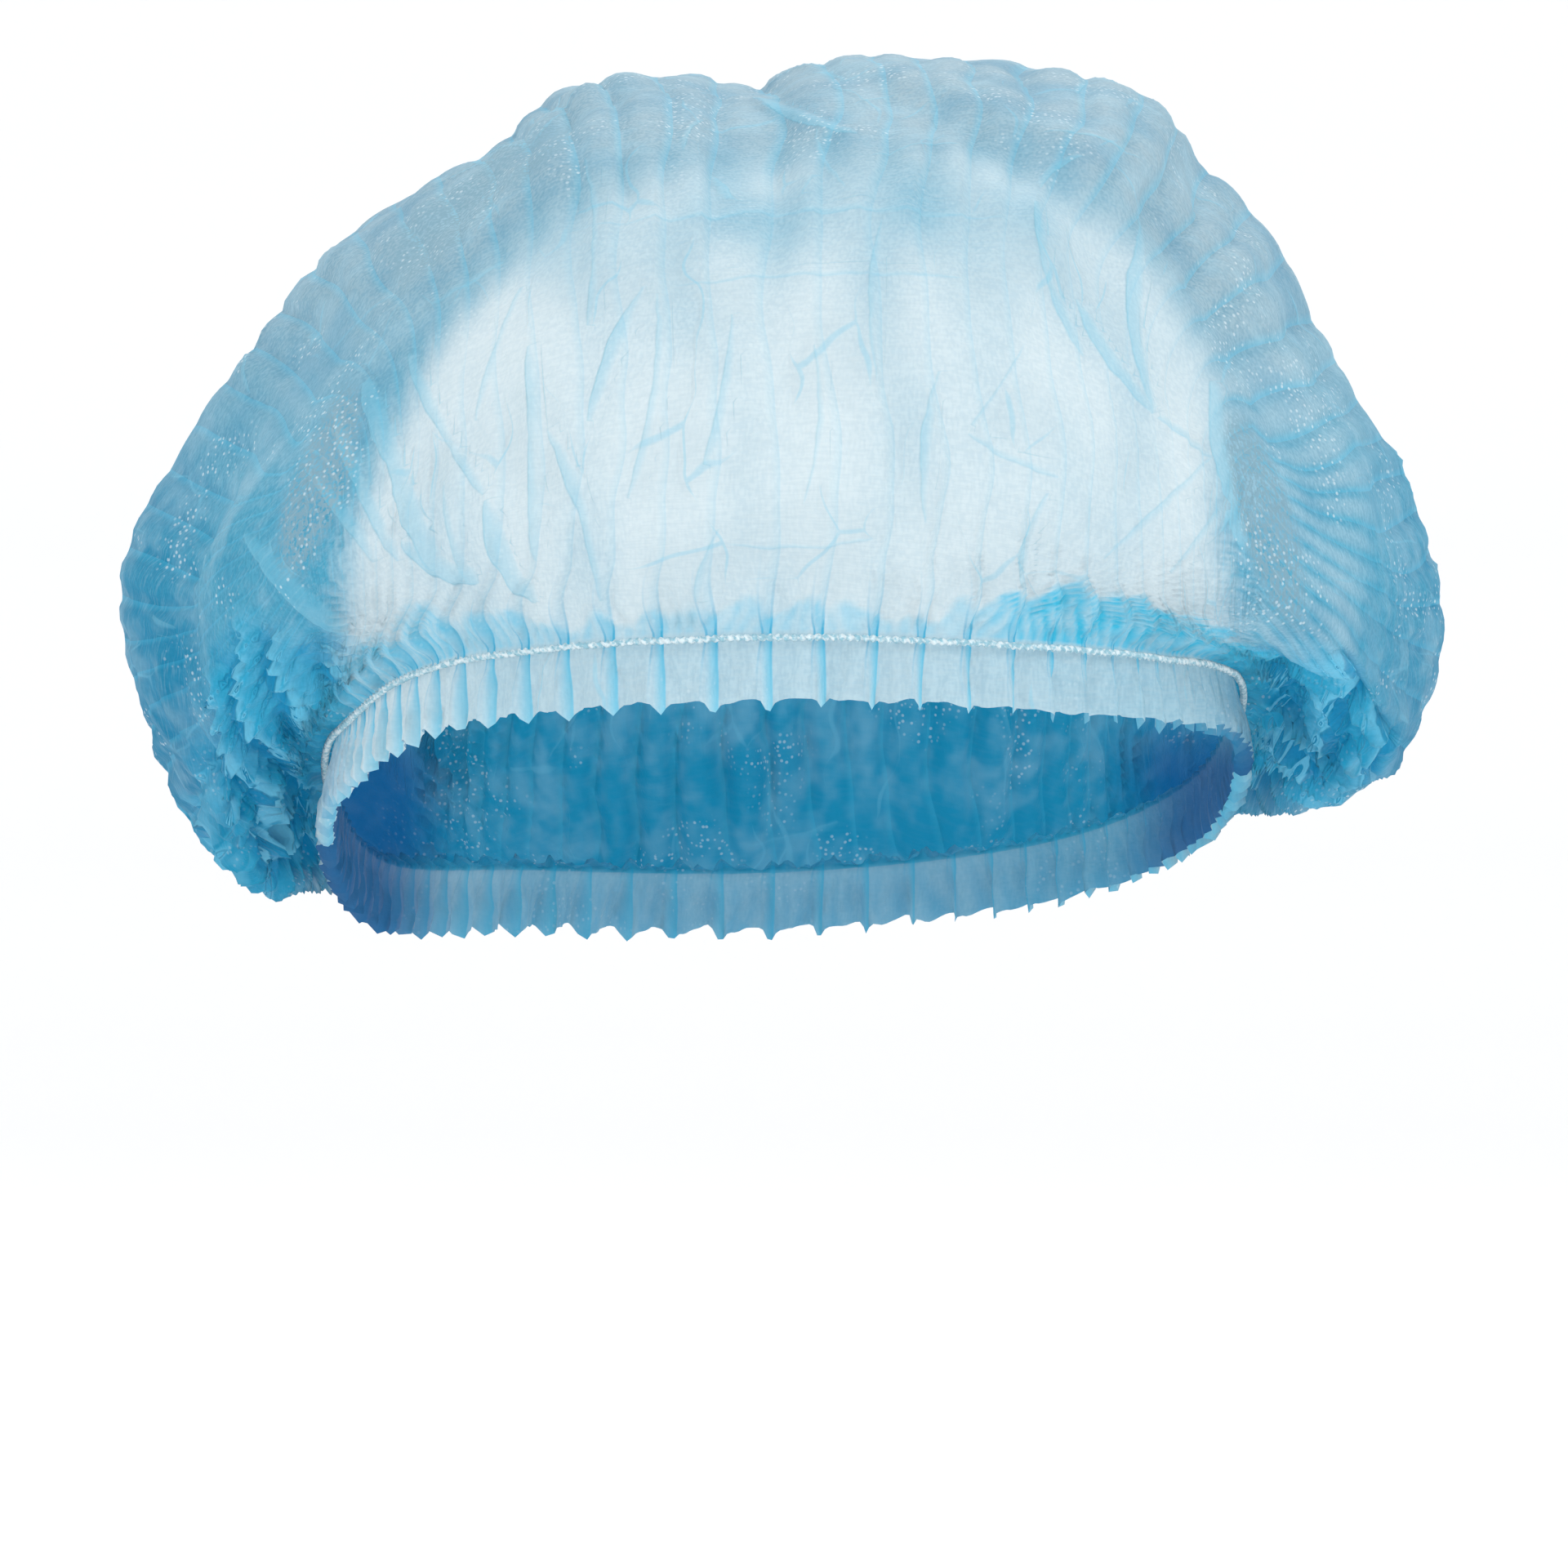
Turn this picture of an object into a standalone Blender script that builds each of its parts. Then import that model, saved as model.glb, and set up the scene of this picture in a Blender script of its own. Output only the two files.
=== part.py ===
"""A disposable bouffant cap of thin nonwoven, in the puffed shape that it takes on a head.

Metres, +Z up. The brow is at -Y and the nape at +Y, and +X is the wearer's left. The origin is the middle of
the opening that the head goes into. The cap is one pleated sheet: a frill hangs below the neck line, where the
elastic gathers the sheet, and above it the sheet turns out, sags, puffs and closes over the crown.
"""

import math
from collections import namedtuple

import bpy
from mathutils import Vector

# The opening, at the neck line
OPENING_WIDTH = 0.164
OPENING_LENGTH = 0.196
OPENING_SQUARENESS = 2.2
BROW_RISE = 0.0265

# The puffed crown
PUFF_REACH = 0.122
PUFF_DEPTH = 0.129
PUFF_LEVEL = 0.035
PUFF_SETBACK = 0.025
PUFF_FULLNESS = 2.15
TURN_LENGTH = 0.040

# The sheet and its elastic
WALL = 0.0012
FRILL_LENGTH = 0.0125
ELASTIC_DIAMETER = 0.0016
SEAT_GAP = 0.0004

# The pleats: half the height of a fold, from its ridge to its valley
NECK_PLEAT = 0.0003
GATHER_PLEAT = 0.0019
SIDE_PLEAT = 0.0011
CROWN_PLEAT = 0.0012
HEM_PLEAT = 0.0015

# How many creases run over the crown from brow to nape, and how many gathers lie beside each ear
CROWN_CREASES = 24
SIDE_GATHERS = 14

# The share of the way from the neck line to the top where the underside's turn ends, and where the grid starts
TURN_SHARE = 0.2
GRID_SHARE = 0.03
NECK_RING_SHARE = 0.012

# Where the creases of the crown begin to rise into gathers, as a share of the way from its middle to its edge
GATHER_START = 0.45

# Where the crown's grid has its corners: this far past the diagonals, in degrees
CORNER_SHIFT = 20

# How sharply the creases give way to the gathers beside the ears, as a power
SIDE_SHARPNESS = 6

ELASTIC_SIDES = 6
CAP_COLOUR = (0.36, 0.66, 0.80, 1)
ELASTIC_COLOUR = (0.86, 0.88, 0.88, 1)
ROUGHNESS = 0.6

# Small steps along the sheet and round it, for its normals
SHARE_STEP = 1e-3
BEARING_STEP = 0.5

# The frill's rings, from the hem up. length: below the neck line, in FRILL_LENGTH. fold: its share of the ruffle.
FrillRing = namedtuple("FrillRing", "length fold")
FRILL_RINGS = [
    FrillRing(1.0, 1.0),
    FrillRing(0.55, 0.7),
]

# Stations round the opening. bearing: degrees from the brow towards +X. height: of the neck line, in BROW_RISE.
# join: degrees above the puff's level where the turn meets the puff. leave: degrees above flat at which the
# sheet leaves the neck line. out, sag: how far the turn is pulled out of the neck line and down from the puff,
# in TURN_LENGTH. flare: degrees that the frill stands out from straight down. ruffle: the frill's folds, in
# HEM_PLEAT.
Station = namedtuple("Station", "bearing height join leave out sag flare ruffle")
STATIONS = [
    Station(-180, -0.62, -18, 14, 0.40, 0.85, 14, 1.5),
    Station(-150, -0.60, -18, 14, 0.40, 0.80, 14, 1.5),
    Station(-120, -0.52, -21, 16, 0.44, 0.80, 12, 1.4),
    Station(-90, 0.06, -22, 18, 0.46, 0.84, 8, 1.2),
    Station(-75, 0.31, -19, 20, 0.42, 0.72, 5, 1.0),
    Station(-60, 0.49, -10, 32, 0.36, 0.50, 3, 0.9),
    Station(-45, 0.76, 0, 52, 0.25, 0.34, 3, 0.9),
    Station(-30, 0.90, 6, 68, 0.25, 0.25, 3, 0.9),
    Station(0, 1.00, 8, 78, 0.25, 0.25, 3, 0.9),
    Station(30, 0.93, 6, 68, 0.25, 0.25, 3, 0.9),
    Station(45, 0.88, 0, 52, 0.25, 0.30, 3, 0.9),
    Station(60, 0.84, -7, 36, 0.34, 0.40, 4, 0.9),
    Station(75, 0.75, -12, 26, 0.38, 0.52, 6, 1.0),
    Station(90, 0.56, -15, 18, 0.40, 0.58, 9, 1.2),
    Station(120, 0.02, -17, 12, 0.38, 0.64, 12, 1.4),
    Station(150, -0.42, -18, 14, 0.40, 0.74, 14, 1.5),
]

# The puff's outline seen from the brow. bearing: degrees from straight up towards +X. reach: from the puff's
# middle, in PUFF_REACH. The dip at -4 is the valley that runs back over the crown, and 44 is below a lobe.
Rib = namedtuple("Rib", "bearing reach")
OUTLINE = [
    Rib(-150, 0.90),
    Rib(-120, 0.91),
    Rib(-112, 0.955),
    Rib(-104, 0.987),
    Rib(-90, 0.995),
    Rib(-82, 0.967),
    Rib(-72, 0.916),
    Rib(-64, 0.873),
    Rib(-54, 0.859),
    Rib(-43, 0.827),
    Rib(-32, 0.820),
    Rib(-24, 0.831),
    Rib(-12, 0.793),
    Rib(-4, 0.753),
    Rib(4, 0.793),
    Rib(15, 0.844),
    Rib(28, 0.889),
    Rib(36, 0.926),
    Rib(41, 0.922),
    Rib(44, 0.896),
    Rib(55, 0.909),
    Rib(64, 0.895),
    Rib(73, 0.912),
    Rib(81, 0.954),
    Rib(90, 1.000),
    Rib(98, 1.000),
    Rib(105, 0.973),
    Rib(112, 0.90),
    Rib(150, 0.88),
]

# The main dents and folds. bearing: round the opening. rise: share of the way from the neck line to the top.
# depth: inwards, in PUFF_REACH. wide, tall: half sizes across and along, as degrees and a share of the way.
# slant: degrees that the fold turns for a whole rise.
Dent = namedtuple("Dent", "bearing rise depth wide tall slant")
DENTS = [
    Dent(-62, 0.30, 0.045, 7, 0.20, 30),
    Dent(-80, 0.26, 0.030, 7, 0.10, -20),
    Dent(-112, 0.26, 0.034, 9, 0.12, 20),
    Dent(-40, 0.52, 0.022, 6, 0.22, 60),
    Dent(26, 0.50, 0.022, 5, 0.24, -50),
    Dent(48, 0.38, 0.030, 6, 0.20, -40),
    Dent(68, 0.25, 0.034, 7, 0.12, 20),
    Dent(92, 0.28, 0.040, 8, 0.12, 30),
    Dent(118, 0.26, 0.034, 9, 0.12, -30),
    Dent(146, 0.42, 0.045, 11, 0.20, 40),
    Dent(-148, 0.46, 0.045, 11, 0.20, -30),
    Dent(176, 0.30, 0.055, 10, 0.16, 10),
    Dent(160, 0.66, 0.030, 14, 0.14, 0),
    Dent(-125, 0.62, 0.035, 12, 0.14, 20),
]


def smooth(share):
    """0 to 1, with a level start and end."""
    share = min(max(share, 0.0), 1.0)
    return share * share * (3 - 2 * share)


def turned(angle):
    """An angle in degrees brought to between -180 and 180."""
    return (angle + 180) % 360 - 180


def curve_through(rows, column, bearing, closes=False):
    """A column of a table at any bearing, on a smooth curve through its rows, which may close into a loop."""
    known = [(row.bearing, getattr(row, column)) for row in rows]
    if closes:
        bearing = turned(bearing)
        known = [(known[-1][0] - 360, known[-1][1])] + known
        known += [(known[1][0] + 360, known[1][1]), (known[2][0] + 360, known[2][1])]
    bearing = min(max(bearing, known[0][0]), known[-1][0])
    at = max(i for i in range(len(known) - 1) if known[i][0] <= bearing)

    def slope(i):
        low, high = max(i - 1, 0), min(i + 1, len(known) - 1)
        return (known[high][1] - known[low][1]) / (known[high][0] - known[low][0])

    gap = known[at + 1][0] - known[at][0]
    t = (bearing - known[at][0]) / gap
    start = known[at][1] * (1 + 2 * t) * (1 - t) ** 2 + slope(at) * gap * t * (1 - t) ** 2
    return start + known[at + 1][1] * t * t * (3 - 2 * t) - slope(at + 1) * gap * t * t * (1 - t)


def station(column, bearing):
    """A column of STATIONS at any bearing."""
    return curve_through(STATIONS, column, bearing, closes=True)


def outward(bearing):
    """The level direction out of the opening."""
    a = math.radians(bearing)
    return Vector((math.sin(a), -math.cos(a), 0))


def neck_point(bearing):
    """A point of the neck line, where the elastic gathers the sheet."""
    out = outward(bearing)
    across = abs(out.x / (OPENING_WIDTH / 2)) ** OPENING_SQUARENESS
    along = abs(out.y / (OPENING_LENGTH / 2)) ** OPENING_SQUARENESS
    point = out * (across + along) ** (-1 / OPENING_SQUARENESS)
    point.z = BROW_RISE * station("height", bearing)
    return point


def puff_point(bearing, elevation):
    """A point of the puff, in a direction from its middle."""
    level = math.cos(math.radians(elevation))
    way = outward(bearing) * level + Vector((0, 0, math.sin(math.radians(elevation))))
    side = math.hypot(way.x, way.z)
    reach = PUFF_REACH * curve_through(OUTLINE, "reach", math.degrees(math.atan2(way.x, way.z)))
    share = (side / reach) ** PUFF_FULLNESS + (abs(way.y) / PUFF_DEPTH) ** PUFF_FULLNESS
    return Vector((0, PUFF_SETBACK, PUFF_LEVEL)) + way * share ** (-1 / PUFF_FULLNESS)


def sheet_point(bearing, share):
    """The smooth sheet above the neck line. share: 0 at the neck line, 1 at the top of the crown."""
    join = station("join", bearing)
    if share >= TURN_SHARE:
        climbed = (share - TURN_SHARE) / (1 - TURN_SHARE)
        return puff_point(bearing, join + (90 - join) * climbed)
    neck = neck_point(bearing)
    leave = math.radians(station("leave", bearing))
    leaving = outward(bearing) * math.cos(leave) + Vector((0, 0, math.sin(leave)))
    end = puff_point(bearing, join)
    falling = (end - puff_point(bearing, join + 1)).normalized()
    first = neck + leaving * TURN_LENGTH * station("out", bearing)
    last = end + falling * TURN_LENGTH * station("sag", bearing)
    t = share / TURN_SHARE
    weights = ((1 - t) ** 3, 3 * t * (1 - t) ** 2, 3 * t * t * (1 - t), t**3)
    points = (neck, first, last, end)
    return sum((point * weight for point, weight in zip(points, weights)), Vector())


def sheet_normal(bearing, share):
    """The direction out of the smooth sheet."""
    if share >= 1 - SHARE_STEP:
        return Vector((0, 0, 1))
    climb = sheet_point(bearing, share + SHARE_STEP) - sheet_point(bearing, max(share - SHARE_STEP, 0))
    turn = sheet_point(bearing + BEARING_STEP, share) - sheet_point(bearing - BEARING_STEP, share)
    return turn.cross(climb).normalized()


def dent_depth(bearing, share):
    """How far the main dents press the sheet in."""
    depth = 0.0
    for dent in DENTS:
        along = share - dent.rise
        across = turned(bearing - dent.bearing - dent.slant * along)
        if abs(across) < 3 * dent.wide and abs(along) < 2 * dent.tall:
            near = (across / dent.wide) ** 2 + (along / dent.tall) ** 2
            depth += dent.depth * PUFF_REACH * math.exp(-near)
    return depth * smooth(share / TURN_SHARE * 2)


def frill_point(bearing, length):
    """A point of the smooth frill, this far below the neck line."""
    flare = math.radians(station("flare", bearing))
    down = outward(bearing) * math.sin(flare) - Vector((0, 0, math.cos(flare)))
    return neck_point(bearing) + down * length


def grid_place(across, along):
    """Bearing and share of the way up for a place of the crown's square grid, each from -1 to 1."""
    x = across * math.sqrt(1 - along * along / 2)
    y = along * math.sqrt(1 - across * across / 2)
    radius = math.hypot(x, y)
    bearing = math.degrees(math.atan2(x, -y)) if radius > 1e-9 else 0.0
    bearing += CORNER_SHIFT * radius**2 * math.sin(math.radians(2 * bearing))
    return bearing, 1 - radius * (1 - GRID_SHARE)


def grid_pleat(column, row, columns, rows):
    """The fold at a place of the grid: creases run from brow to nape, and gathers only beside the ears."""
    across, along = abs(2 * column / columns - 1), abs(2 * row / rows - 1)
    edge = max(across, along)
    to_side = (across / edge) ** SIDE_SHARPNESS if edge else 0.0
    to_side /= to_side + (along / edge) ** SIDE_SHARPNESS if edge else 1.0
    near_edge = smooth((edge - GATHER_START) / (1 - GATHER_START))
    crease = CROWN_PLEAT + (GATHER_PLEAT - CROWN_PLEAT) * near_edge
    crease *= 1 - to_side * near_edge
    gather = SIDE_PLEAT * near_edge * to_side
    return crease * (-1) ** column + gather * (-1) ** row


def rim_places(columns, rows):
    """The grid's edge as (column, row), once round from the brow's right corner."""
    front = [(i, 0) for i in range(columns)]
    left = [(columns, j) for j in range(rows)]
    back = [(i, rows) for i in range(columns, 0, -1)]
    right = [(0, j) for j in range(rows, 0, -1)]
    return front + left + back + right


def halves(points, a, b, c, d):
    """A four-sided patch as two triangles, cut along its shorter diagonal."""
    if (points[a] - points[c]).length < (points[b] - points[d]).length:
        return [(a, b, c), (a, c, d)]
    return [(a, b, d), (b, c, d)]


def add_wall(name, outer, normals, faces, edge, colour):
    """A closed wall under an outer skin: the skin, the same skin moved in, and a band along its open edge."""
    count = len(outer)
    points = outer + [p - n * WALL for p, n in zip(outer, normals)]
    walls = list(faces) + [tuple(count + i for i in reversed(face)) for face in faces]
    for here, there in zip(edge, edge[1:] + edge[:1]):
        walls.append((here, there, there + count, here + count))
    return add_solid(name, points, walls, colour)


def add_solid(name, points, faces, colour):
    """An object of these points and faces, in a material of its own."""
    mesh = bpy.data.meshes.new(name)
    mesh.from_pydata([tuple(p) for p in points], [], faces)
    mesh.validate()
    material = bpy.data.materials.new(name)
    material.use_nodes = True
    shader = material.node_tree.nodes["Principled BSDF"]
    shader.inputs["Base Color"].default_value = colour
    shader.inputs["Roughness"].default_value = ROUGHNESS
    shader.inputs["Metallic"].default_value = 0.0
    mesh.materials.append(material)
    solid = bpy.data.objects.new(name, mesh)
    bpy.context.scene.collection.objects.link(solid)
    return solid


def make_cap():
    """The sheet: rings from the hem up to the neck line and round its turn, then the crown's grid."""
    columns, rows = 2 * CROWN_CREASES, 2 * SIDE_GATHERS
    places = rim_places(columns, rows)
    bearings = [grid_place(2 * i / columns - 1, 2 * j / rows - 1)[0] for i, j in places]
    points, normals, rings = [], [], []

    tuck = (ELASTIC_DIAMETER + 2 * SEAT_GAP + NECK_PLEAT) / FRILL_LENGTH
    for length, fold in FRILL_RINGS + [FrillRing(tuck, 0.0)]:
        ring = []
        for k, bearing in enumerate(bearings):
            out = outward(bearing)
            ruffle = HEM_PLEAT * station("ruffle", bearing)
            pleat = NECK_PLEAT + (ruffle - NECK_PLEAT) * fold
            ring.append(len(points))
            points.append(frill_point(bearing, length * FRILL_LENGTH) + out * pleat * (-1) ** k)
            normals.append(out)
        rings.append(ring)
    for share in (0.0, NECK_RING_SHARE):
        ring = []
        for k, bearing in enumerate(bearings):
            normal = sheet_normal(bearing, share)
            normal = (normal + outward(bearing)).normalized() if share == 0 else normal
            ring.append(len(points))
            points.append(sheet_point(bearing, share) + normal * NECK_PLEAT * (-1) ** k)
            normals.append(normal)
        rings.append(ring)

    grid = {}
    for j in range(rows + 1):
        for i in range(columns + 1):
            bearing, share = grid_place(2 * i / columns - 1, 2 * j / rows - 1)
            normal = sheet_normal(bearing, share)
            lift = grid_pleat(i, j, columns, rows) - dent_depth(bearing, share)
            grid[i, j] = len(points)
            points.append(sheet_point(bearing, share) + normal * lift)
            normals.append(normal)
    rings.append([grid[place] for place in places])

    faces = []
    for low, high in zip(rings, rings[1:]):
        for k in range(len(low)):
            after = (k + 1) % len(low)
            faces += halves(points, low[k], low[after], high[after], high[k])
    for j in range(rows):
        for i in range(columns):
            faces += halves(points, grid[i, j], grid[i + 1, j], grid[i + 1, j + 1], grid[i, j + 1])
    return add_wall("cap", points, normals, faces, list(reversed(rings[0])), CAP_COLOUR)


def make_elastic():
    """The covered elastic: a closed ring on the outside of the sheet, seated just under the neck line."""
    radius = ELASTIC_DIAMETER / 2
    stations = CROWN_CREASES * 2 + SIDE_GATHERS * 2
    centre = []
    for k in range(stations):
        bearing = 360 * k / stations
        neck, out = neck_point(bearing), outward(bearing)
        down = (frill_point(bearing, FRILL_LENGTH) - neck).normalized()
        aside = Vector((-out.x * down.z, -out.y * down.z, down.dot(out)))
        centre.append(neck + (down + aside) * (NECK_PLEAT + SEAT_GAP + radius))
    points, faces = [], []
    for k in range(stations):
        along = (centre[(k + 1) % stations] - centre[k - 1]).normalized()
        side = along.cross(Vector((0, 0, 1))).normalized()
        up = side.cross(along)
        for m in range(ELASTIC_SIDES):
            turn = 2 * math.pi * (m + 0.5) / ELASTIC_SIDES
            points.append(centre[k] + (side * math.cos(turn) + up * math.sin(turn)) * radius)
    for k in range(stations):
        here, there = k * ELASTIC_SIDES, (k + 1) % stations * ELASTIC_SIDES
        for m in range(ELASTIC_SIDES):
            after = (m + 1) % ELASTIC_SIDES
            faces.append((here + m, there + m, there + after, here + after))
    return add_solid("elastic", points, faces, ELASTIC_COLOUR)


for old in list(bpy.data.objects):
    bpy.data.objects.remove(old)
make_cap()
make_elastic()
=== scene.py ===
import math
from collections import namedtuple

import bpy
import numpy as np
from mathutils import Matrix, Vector, noise


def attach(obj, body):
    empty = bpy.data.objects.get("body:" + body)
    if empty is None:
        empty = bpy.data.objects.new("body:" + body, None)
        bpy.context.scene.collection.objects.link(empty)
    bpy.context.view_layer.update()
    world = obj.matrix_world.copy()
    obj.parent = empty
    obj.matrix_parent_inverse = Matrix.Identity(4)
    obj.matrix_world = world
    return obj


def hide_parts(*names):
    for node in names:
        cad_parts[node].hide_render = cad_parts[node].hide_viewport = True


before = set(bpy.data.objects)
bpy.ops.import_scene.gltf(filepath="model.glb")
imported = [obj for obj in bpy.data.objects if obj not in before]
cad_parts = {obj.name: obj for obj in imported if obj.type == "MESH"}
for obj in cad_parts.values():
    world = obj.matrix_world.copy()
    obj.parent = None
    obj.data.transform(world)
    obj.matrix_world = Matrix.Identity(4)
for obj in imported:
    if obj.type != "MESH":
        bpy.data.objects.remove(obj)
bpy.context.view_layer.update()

# The sheet: one disc of spunbond nonwoven, pressed into parallel pleats from brow to nape, then
# gathered by the elastic. The crown puffs out above the neck line, sags round it at the sides and the
# nape, and ends below it in a short frill.
OPENING_WIDTH = 0.164
OPENING_LENGTH = 0.196
OPENING_SQUARENESS = 2.2
BROW_RISE = 0.0265
PUFF_REACH = 0.122
PUFF_DEPTH = 0.129
PUFF_LEVEL = 0.035
PUFF_SETBACK = 0.025
PUFF_FULLNESS = 2.15
TURN_LENGTH = 0.040
TURN_SHARE = 0.2
GRID_SHARE = 0.03
CORNER_SHIFT = 20
FRILL_LENGTH = 0.0125
FLAT_DIAMETER = 0.53

# Stations round the opening, from the brow towards +X. height: of the neck line, in BROW_RISE. join,
# leave: how the turn meets the puff and the neck line, in degrees. out, sag: its pull, in TURN_LENGTH.
# flare: of the frill, in degrees. ruffle: of its hem, in HEM_PLEAT.
Station = namedtuple("Station", "bearing height join leave out sag flare ruffle")
STATIONS = [
    Station(-180, -0.62, -18, 14, 0.40, 0.85, 14, 1.5),
    Station(-150, -0.60, -18, 14, 0.40, 0.80, 14, 1.5),
    Station(-120, -0.52, -21, 16, 0.44, 0.80, 12, 1.4),
    Station(-90, 0.06, -22, 18, 0.46, 0.84, 8, 1.2),
    Station(-75, 0.31, -19, 20, 0.42, 0.72, 5, 1.0),
    Station(-60, 0.49, -10, 32, 0.36, 0.50, 3, 0.9),
    Station(-45, 0.76, 0, 52, 0.25, 0.34, 3, 0.9),
    Station(-30, 0.90, 6, 68, 0.25, 0.25, 3, 0.9),
    Station(0, 1.00, 8, 78, 0.25, 0.25, 3, 0.9),
    Station(30, 0.93, 6, 68, 0.25, 0.25, 3, 0.9),
    Station(45, 0.88, 0, 52, 0.25, 0.30, 3, 0.9),
    Station(60, 0.84, -7, 36, 0.34, 0.40, 4, 0.9),
    Station(75, 0.75, -12, 26, 0.38, 0.52, 6, 1.0),
    Station(90, 0.56, -15, 18, 0.40, 0.58, 9, 1.2),
    Station(120, 0.02, -17, 12, 0.38, 0.64, 12, 1.4),
    Station(150, -0.42, -18, 14, 0.40, 0.74, 14, 1.5),
]

# The puff's outline seen from the brow, from straight up towards +X. reach: in PUFF_REACH.
Rib = namedtuple("Rib", "bearing reach")
OUTLINE = [
    Rib(-150, 0.90), Rib(-120, 0.91), Rib(-112, 0.955), Rib(-104, 0.987), Rib(-90, 0.995),
    Rib(-82, 0.967), Rib(-72, 0.916), Rib(-64, 0.873), Rib(-54, 0.859), Rib(-43, 0.827),
    Rib(-32, 0.820), Rib(-24, 0.831), Rib(-12, 0.793), Rib(-4, 0.753), Rib(4, 0.793),
    Rib(15, 0.844), Rib(28, 0.889), Rib(36, 0.926), Rib(41, 0.922), Rib(44, 0.896),
    Rib(55, 0.909), Rib(64, 0.895), Rib(73, 0.912), Rib(81, 0.954), Rib(90, 1.000),
    Rib(98, 1.000), Rib(105, 0.973), Rib(112, 0.90), Rib(150, 0.88),
]

# The main dents and folds. rise, tall: shares of the way up. depth: in PUFF_REACH. wide: degrees.
Dent = namedtuple("Dent", "bearing rise depth wide tall slant")
DENTS = [
    Dent(-62, 0.30, 0.045, 7, 0.20, 30),
    Dent(-80, 0.26, 0.030, 7, 0.10, -20),
    Dent(-112, 0.26, 0.034, 9, 0.12, 20),
    Dent(-40, 0.52, 0.022, 6, 0.22, 60),
    Dent(26, 0.50, 0.022, 5, 0.24, -50),
    Dent(48, 0.38, 0.030, 6, 0.20, -40),
    Dent(68, 0.25, 0.034, 7, 0.12, 20),
    Dent(92, 0.28, 0.040, 8, 0.12, 30),
    Dent(118, 0.26, 0.034, 9, 0.12, -30),
    Dent(146, 0.42, 0.045, 11, 0.20, 40),
    Dent(-148, 0.46, 0.045, 11, 0.20, -30),
    Dent(176, 0.30, 0.055, 10, 0.16, 10),
    Dent(160, 0.66, 0.030, 14, 0.14, 0),
    Dent(-125, 0.62, 0.035, 12, 0.14, 20),
]


def unit(share):
    return np.clip(share, 0, 1)


def smooth(share):
    share = unit(share)
    return share * share * (3 - 2 * share)


def bell(value, middle, reach):
    """1 at the middle, and dying away on both sides of it."""
    return np.exp(-(((value - middle) / reach) ** 2))


def turned(angle):
    return (angle + 180) % 360 - 180


def through(rows, column, bearing, closes=False):
    """A column of a table at many bearings, on the smooth curve through its rows."""
    at = np.array([row.bearing for row in rows], float)
    known = np.array([getattr(row, column) for row in rows], float)
    if closes:
        bearing = turned(bearing)
        at = np.concatenate(([at[-1] - 360], at, at[:2] + 360))
        known = np.concatenate((known[-1:], known, known[:2]))
    bearing = np.clip(bearing, at[0], at[-1])
    slope = np.empty_like(known)
    slope[1:-1] = (known[2:] - known[:-2]) / (at[2:] - at[:-2])
    slope[0] = (known[1] - known[0]) / (at[1] - at[0])
    slope[-1] = (known[-1] - known[-2]) / (at[-1] - at[-2])
    i = np.clip(np.searchsorted(at, bearing, side="right") - 1, 0, len(at) - 2)
    gap = at[i + 1] - at[i]
    t = (bearing - at[i]) / gap
    start = known[i] * (1 + 2 * t) * (1 - t) ** 2 + slope[i] * gap * t * (1 - t) ** 2
    return start + known[i + 1] * t * t * (3 - 2 * t) - slope[i + 1] * gap * t * t * (1 - t)


def station(column, bearing):
    return through(STATIONS, column, bearing, closes=True)


def outward(bearing):
    a = np.radians(bearing)
    return np.stack((np.sin(a), -np.cos(a), np.zeros_like(a)), -1)


def neck_point(bearing):
    """The neck line, where the elastic gathers the sheet."""
    out = outward(bearing)
    across = np.abs(out[:, 0] / (OPENING_WIDTH / 2)) ** OPENING_SQUARENESS
    along = np.abs(out[:, 1] / (OPENING_LENGTH / 2)) ** OPENING_SQUARENESS
    point = out * ((across + along) ** (-1 / OPENING_SQUARENESS))[:, None]
    point[:, 2] = BROW_RISE * station("height", bearing)
    return point


def puff_point(bearing, elevation):
    """The puff, in a direction from its middle."""
    lift = np.radians(elevation)
    way = outward(bearing) * np.cos(lift)[:, None]
    way[:, 2] = np.sin(lift)
    side = np.hypot(way[:, 0], way[:, 2])
    reach = PUFF_REACH * through(OUTLINE, "reach", np.degrees(np.arctan2(way[:, 0], way[:, 2])))
    share = (side / reach) ** PUFF_FULLNESS + (np.abs(way[:, 1]) / PUFF_DEPTH) ** PUFF_FULLNESS
    return np.array((0, PUFF_SETBACK, PUFF_LEVEL)) + way * (share ** (-1 / PUFF_FULLNESS))[:, None]


def sheet_point(bearing, share):
    """The smooth sheet above the neck line: share is 0 at the neck line and 1 at the top."""
    join = station("join", bearing)
    climbed = unit((share - TURN_SHARE) / (1 - TURN_SHARE))
    high = puff_point(bearing, join + (90 - join) * climbed)
    neck = neck_point(bearing)
    leave = np.radians(station("leave", bearing))
    leaving = outward(bearing) * np.cos(leave)[:, None]
    leaving[:, 2] = np.sin(leave)
    end = puff_point(bearing, join)
    falling = end - puff_point(bearing, join + 1)
    falling /= np.linalg.norm(falling, axis=1)[:, None]
    first = neck + leaving * (TURN_LENGTH * station("out", bearing))[:, None]
    last = end + falling * (TURN_LENGTH * station("sag", bearing))[:, None]
    t = unit(share / TURN_SHARE)[:, None]
    low = neck * (1 - t) ** 3 + first * 3 * t * (1 - t) ** 2 + last * 3 * t * t * (1 - t) + end * t**3
    return np.where(share[:, None] >= TURN_SHARE, high, low)


def frill_point(bearing, length):
    """The smooth frill, this far below the neck line."""
    flare = np.radians(station("flare", bearing))
    down = outward(bearing) * np.sin(flare)[:, None]
    down[:, 2] = -np.cos(flare)
    return neck_point(bearing) + down * length[:, None]


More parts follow.
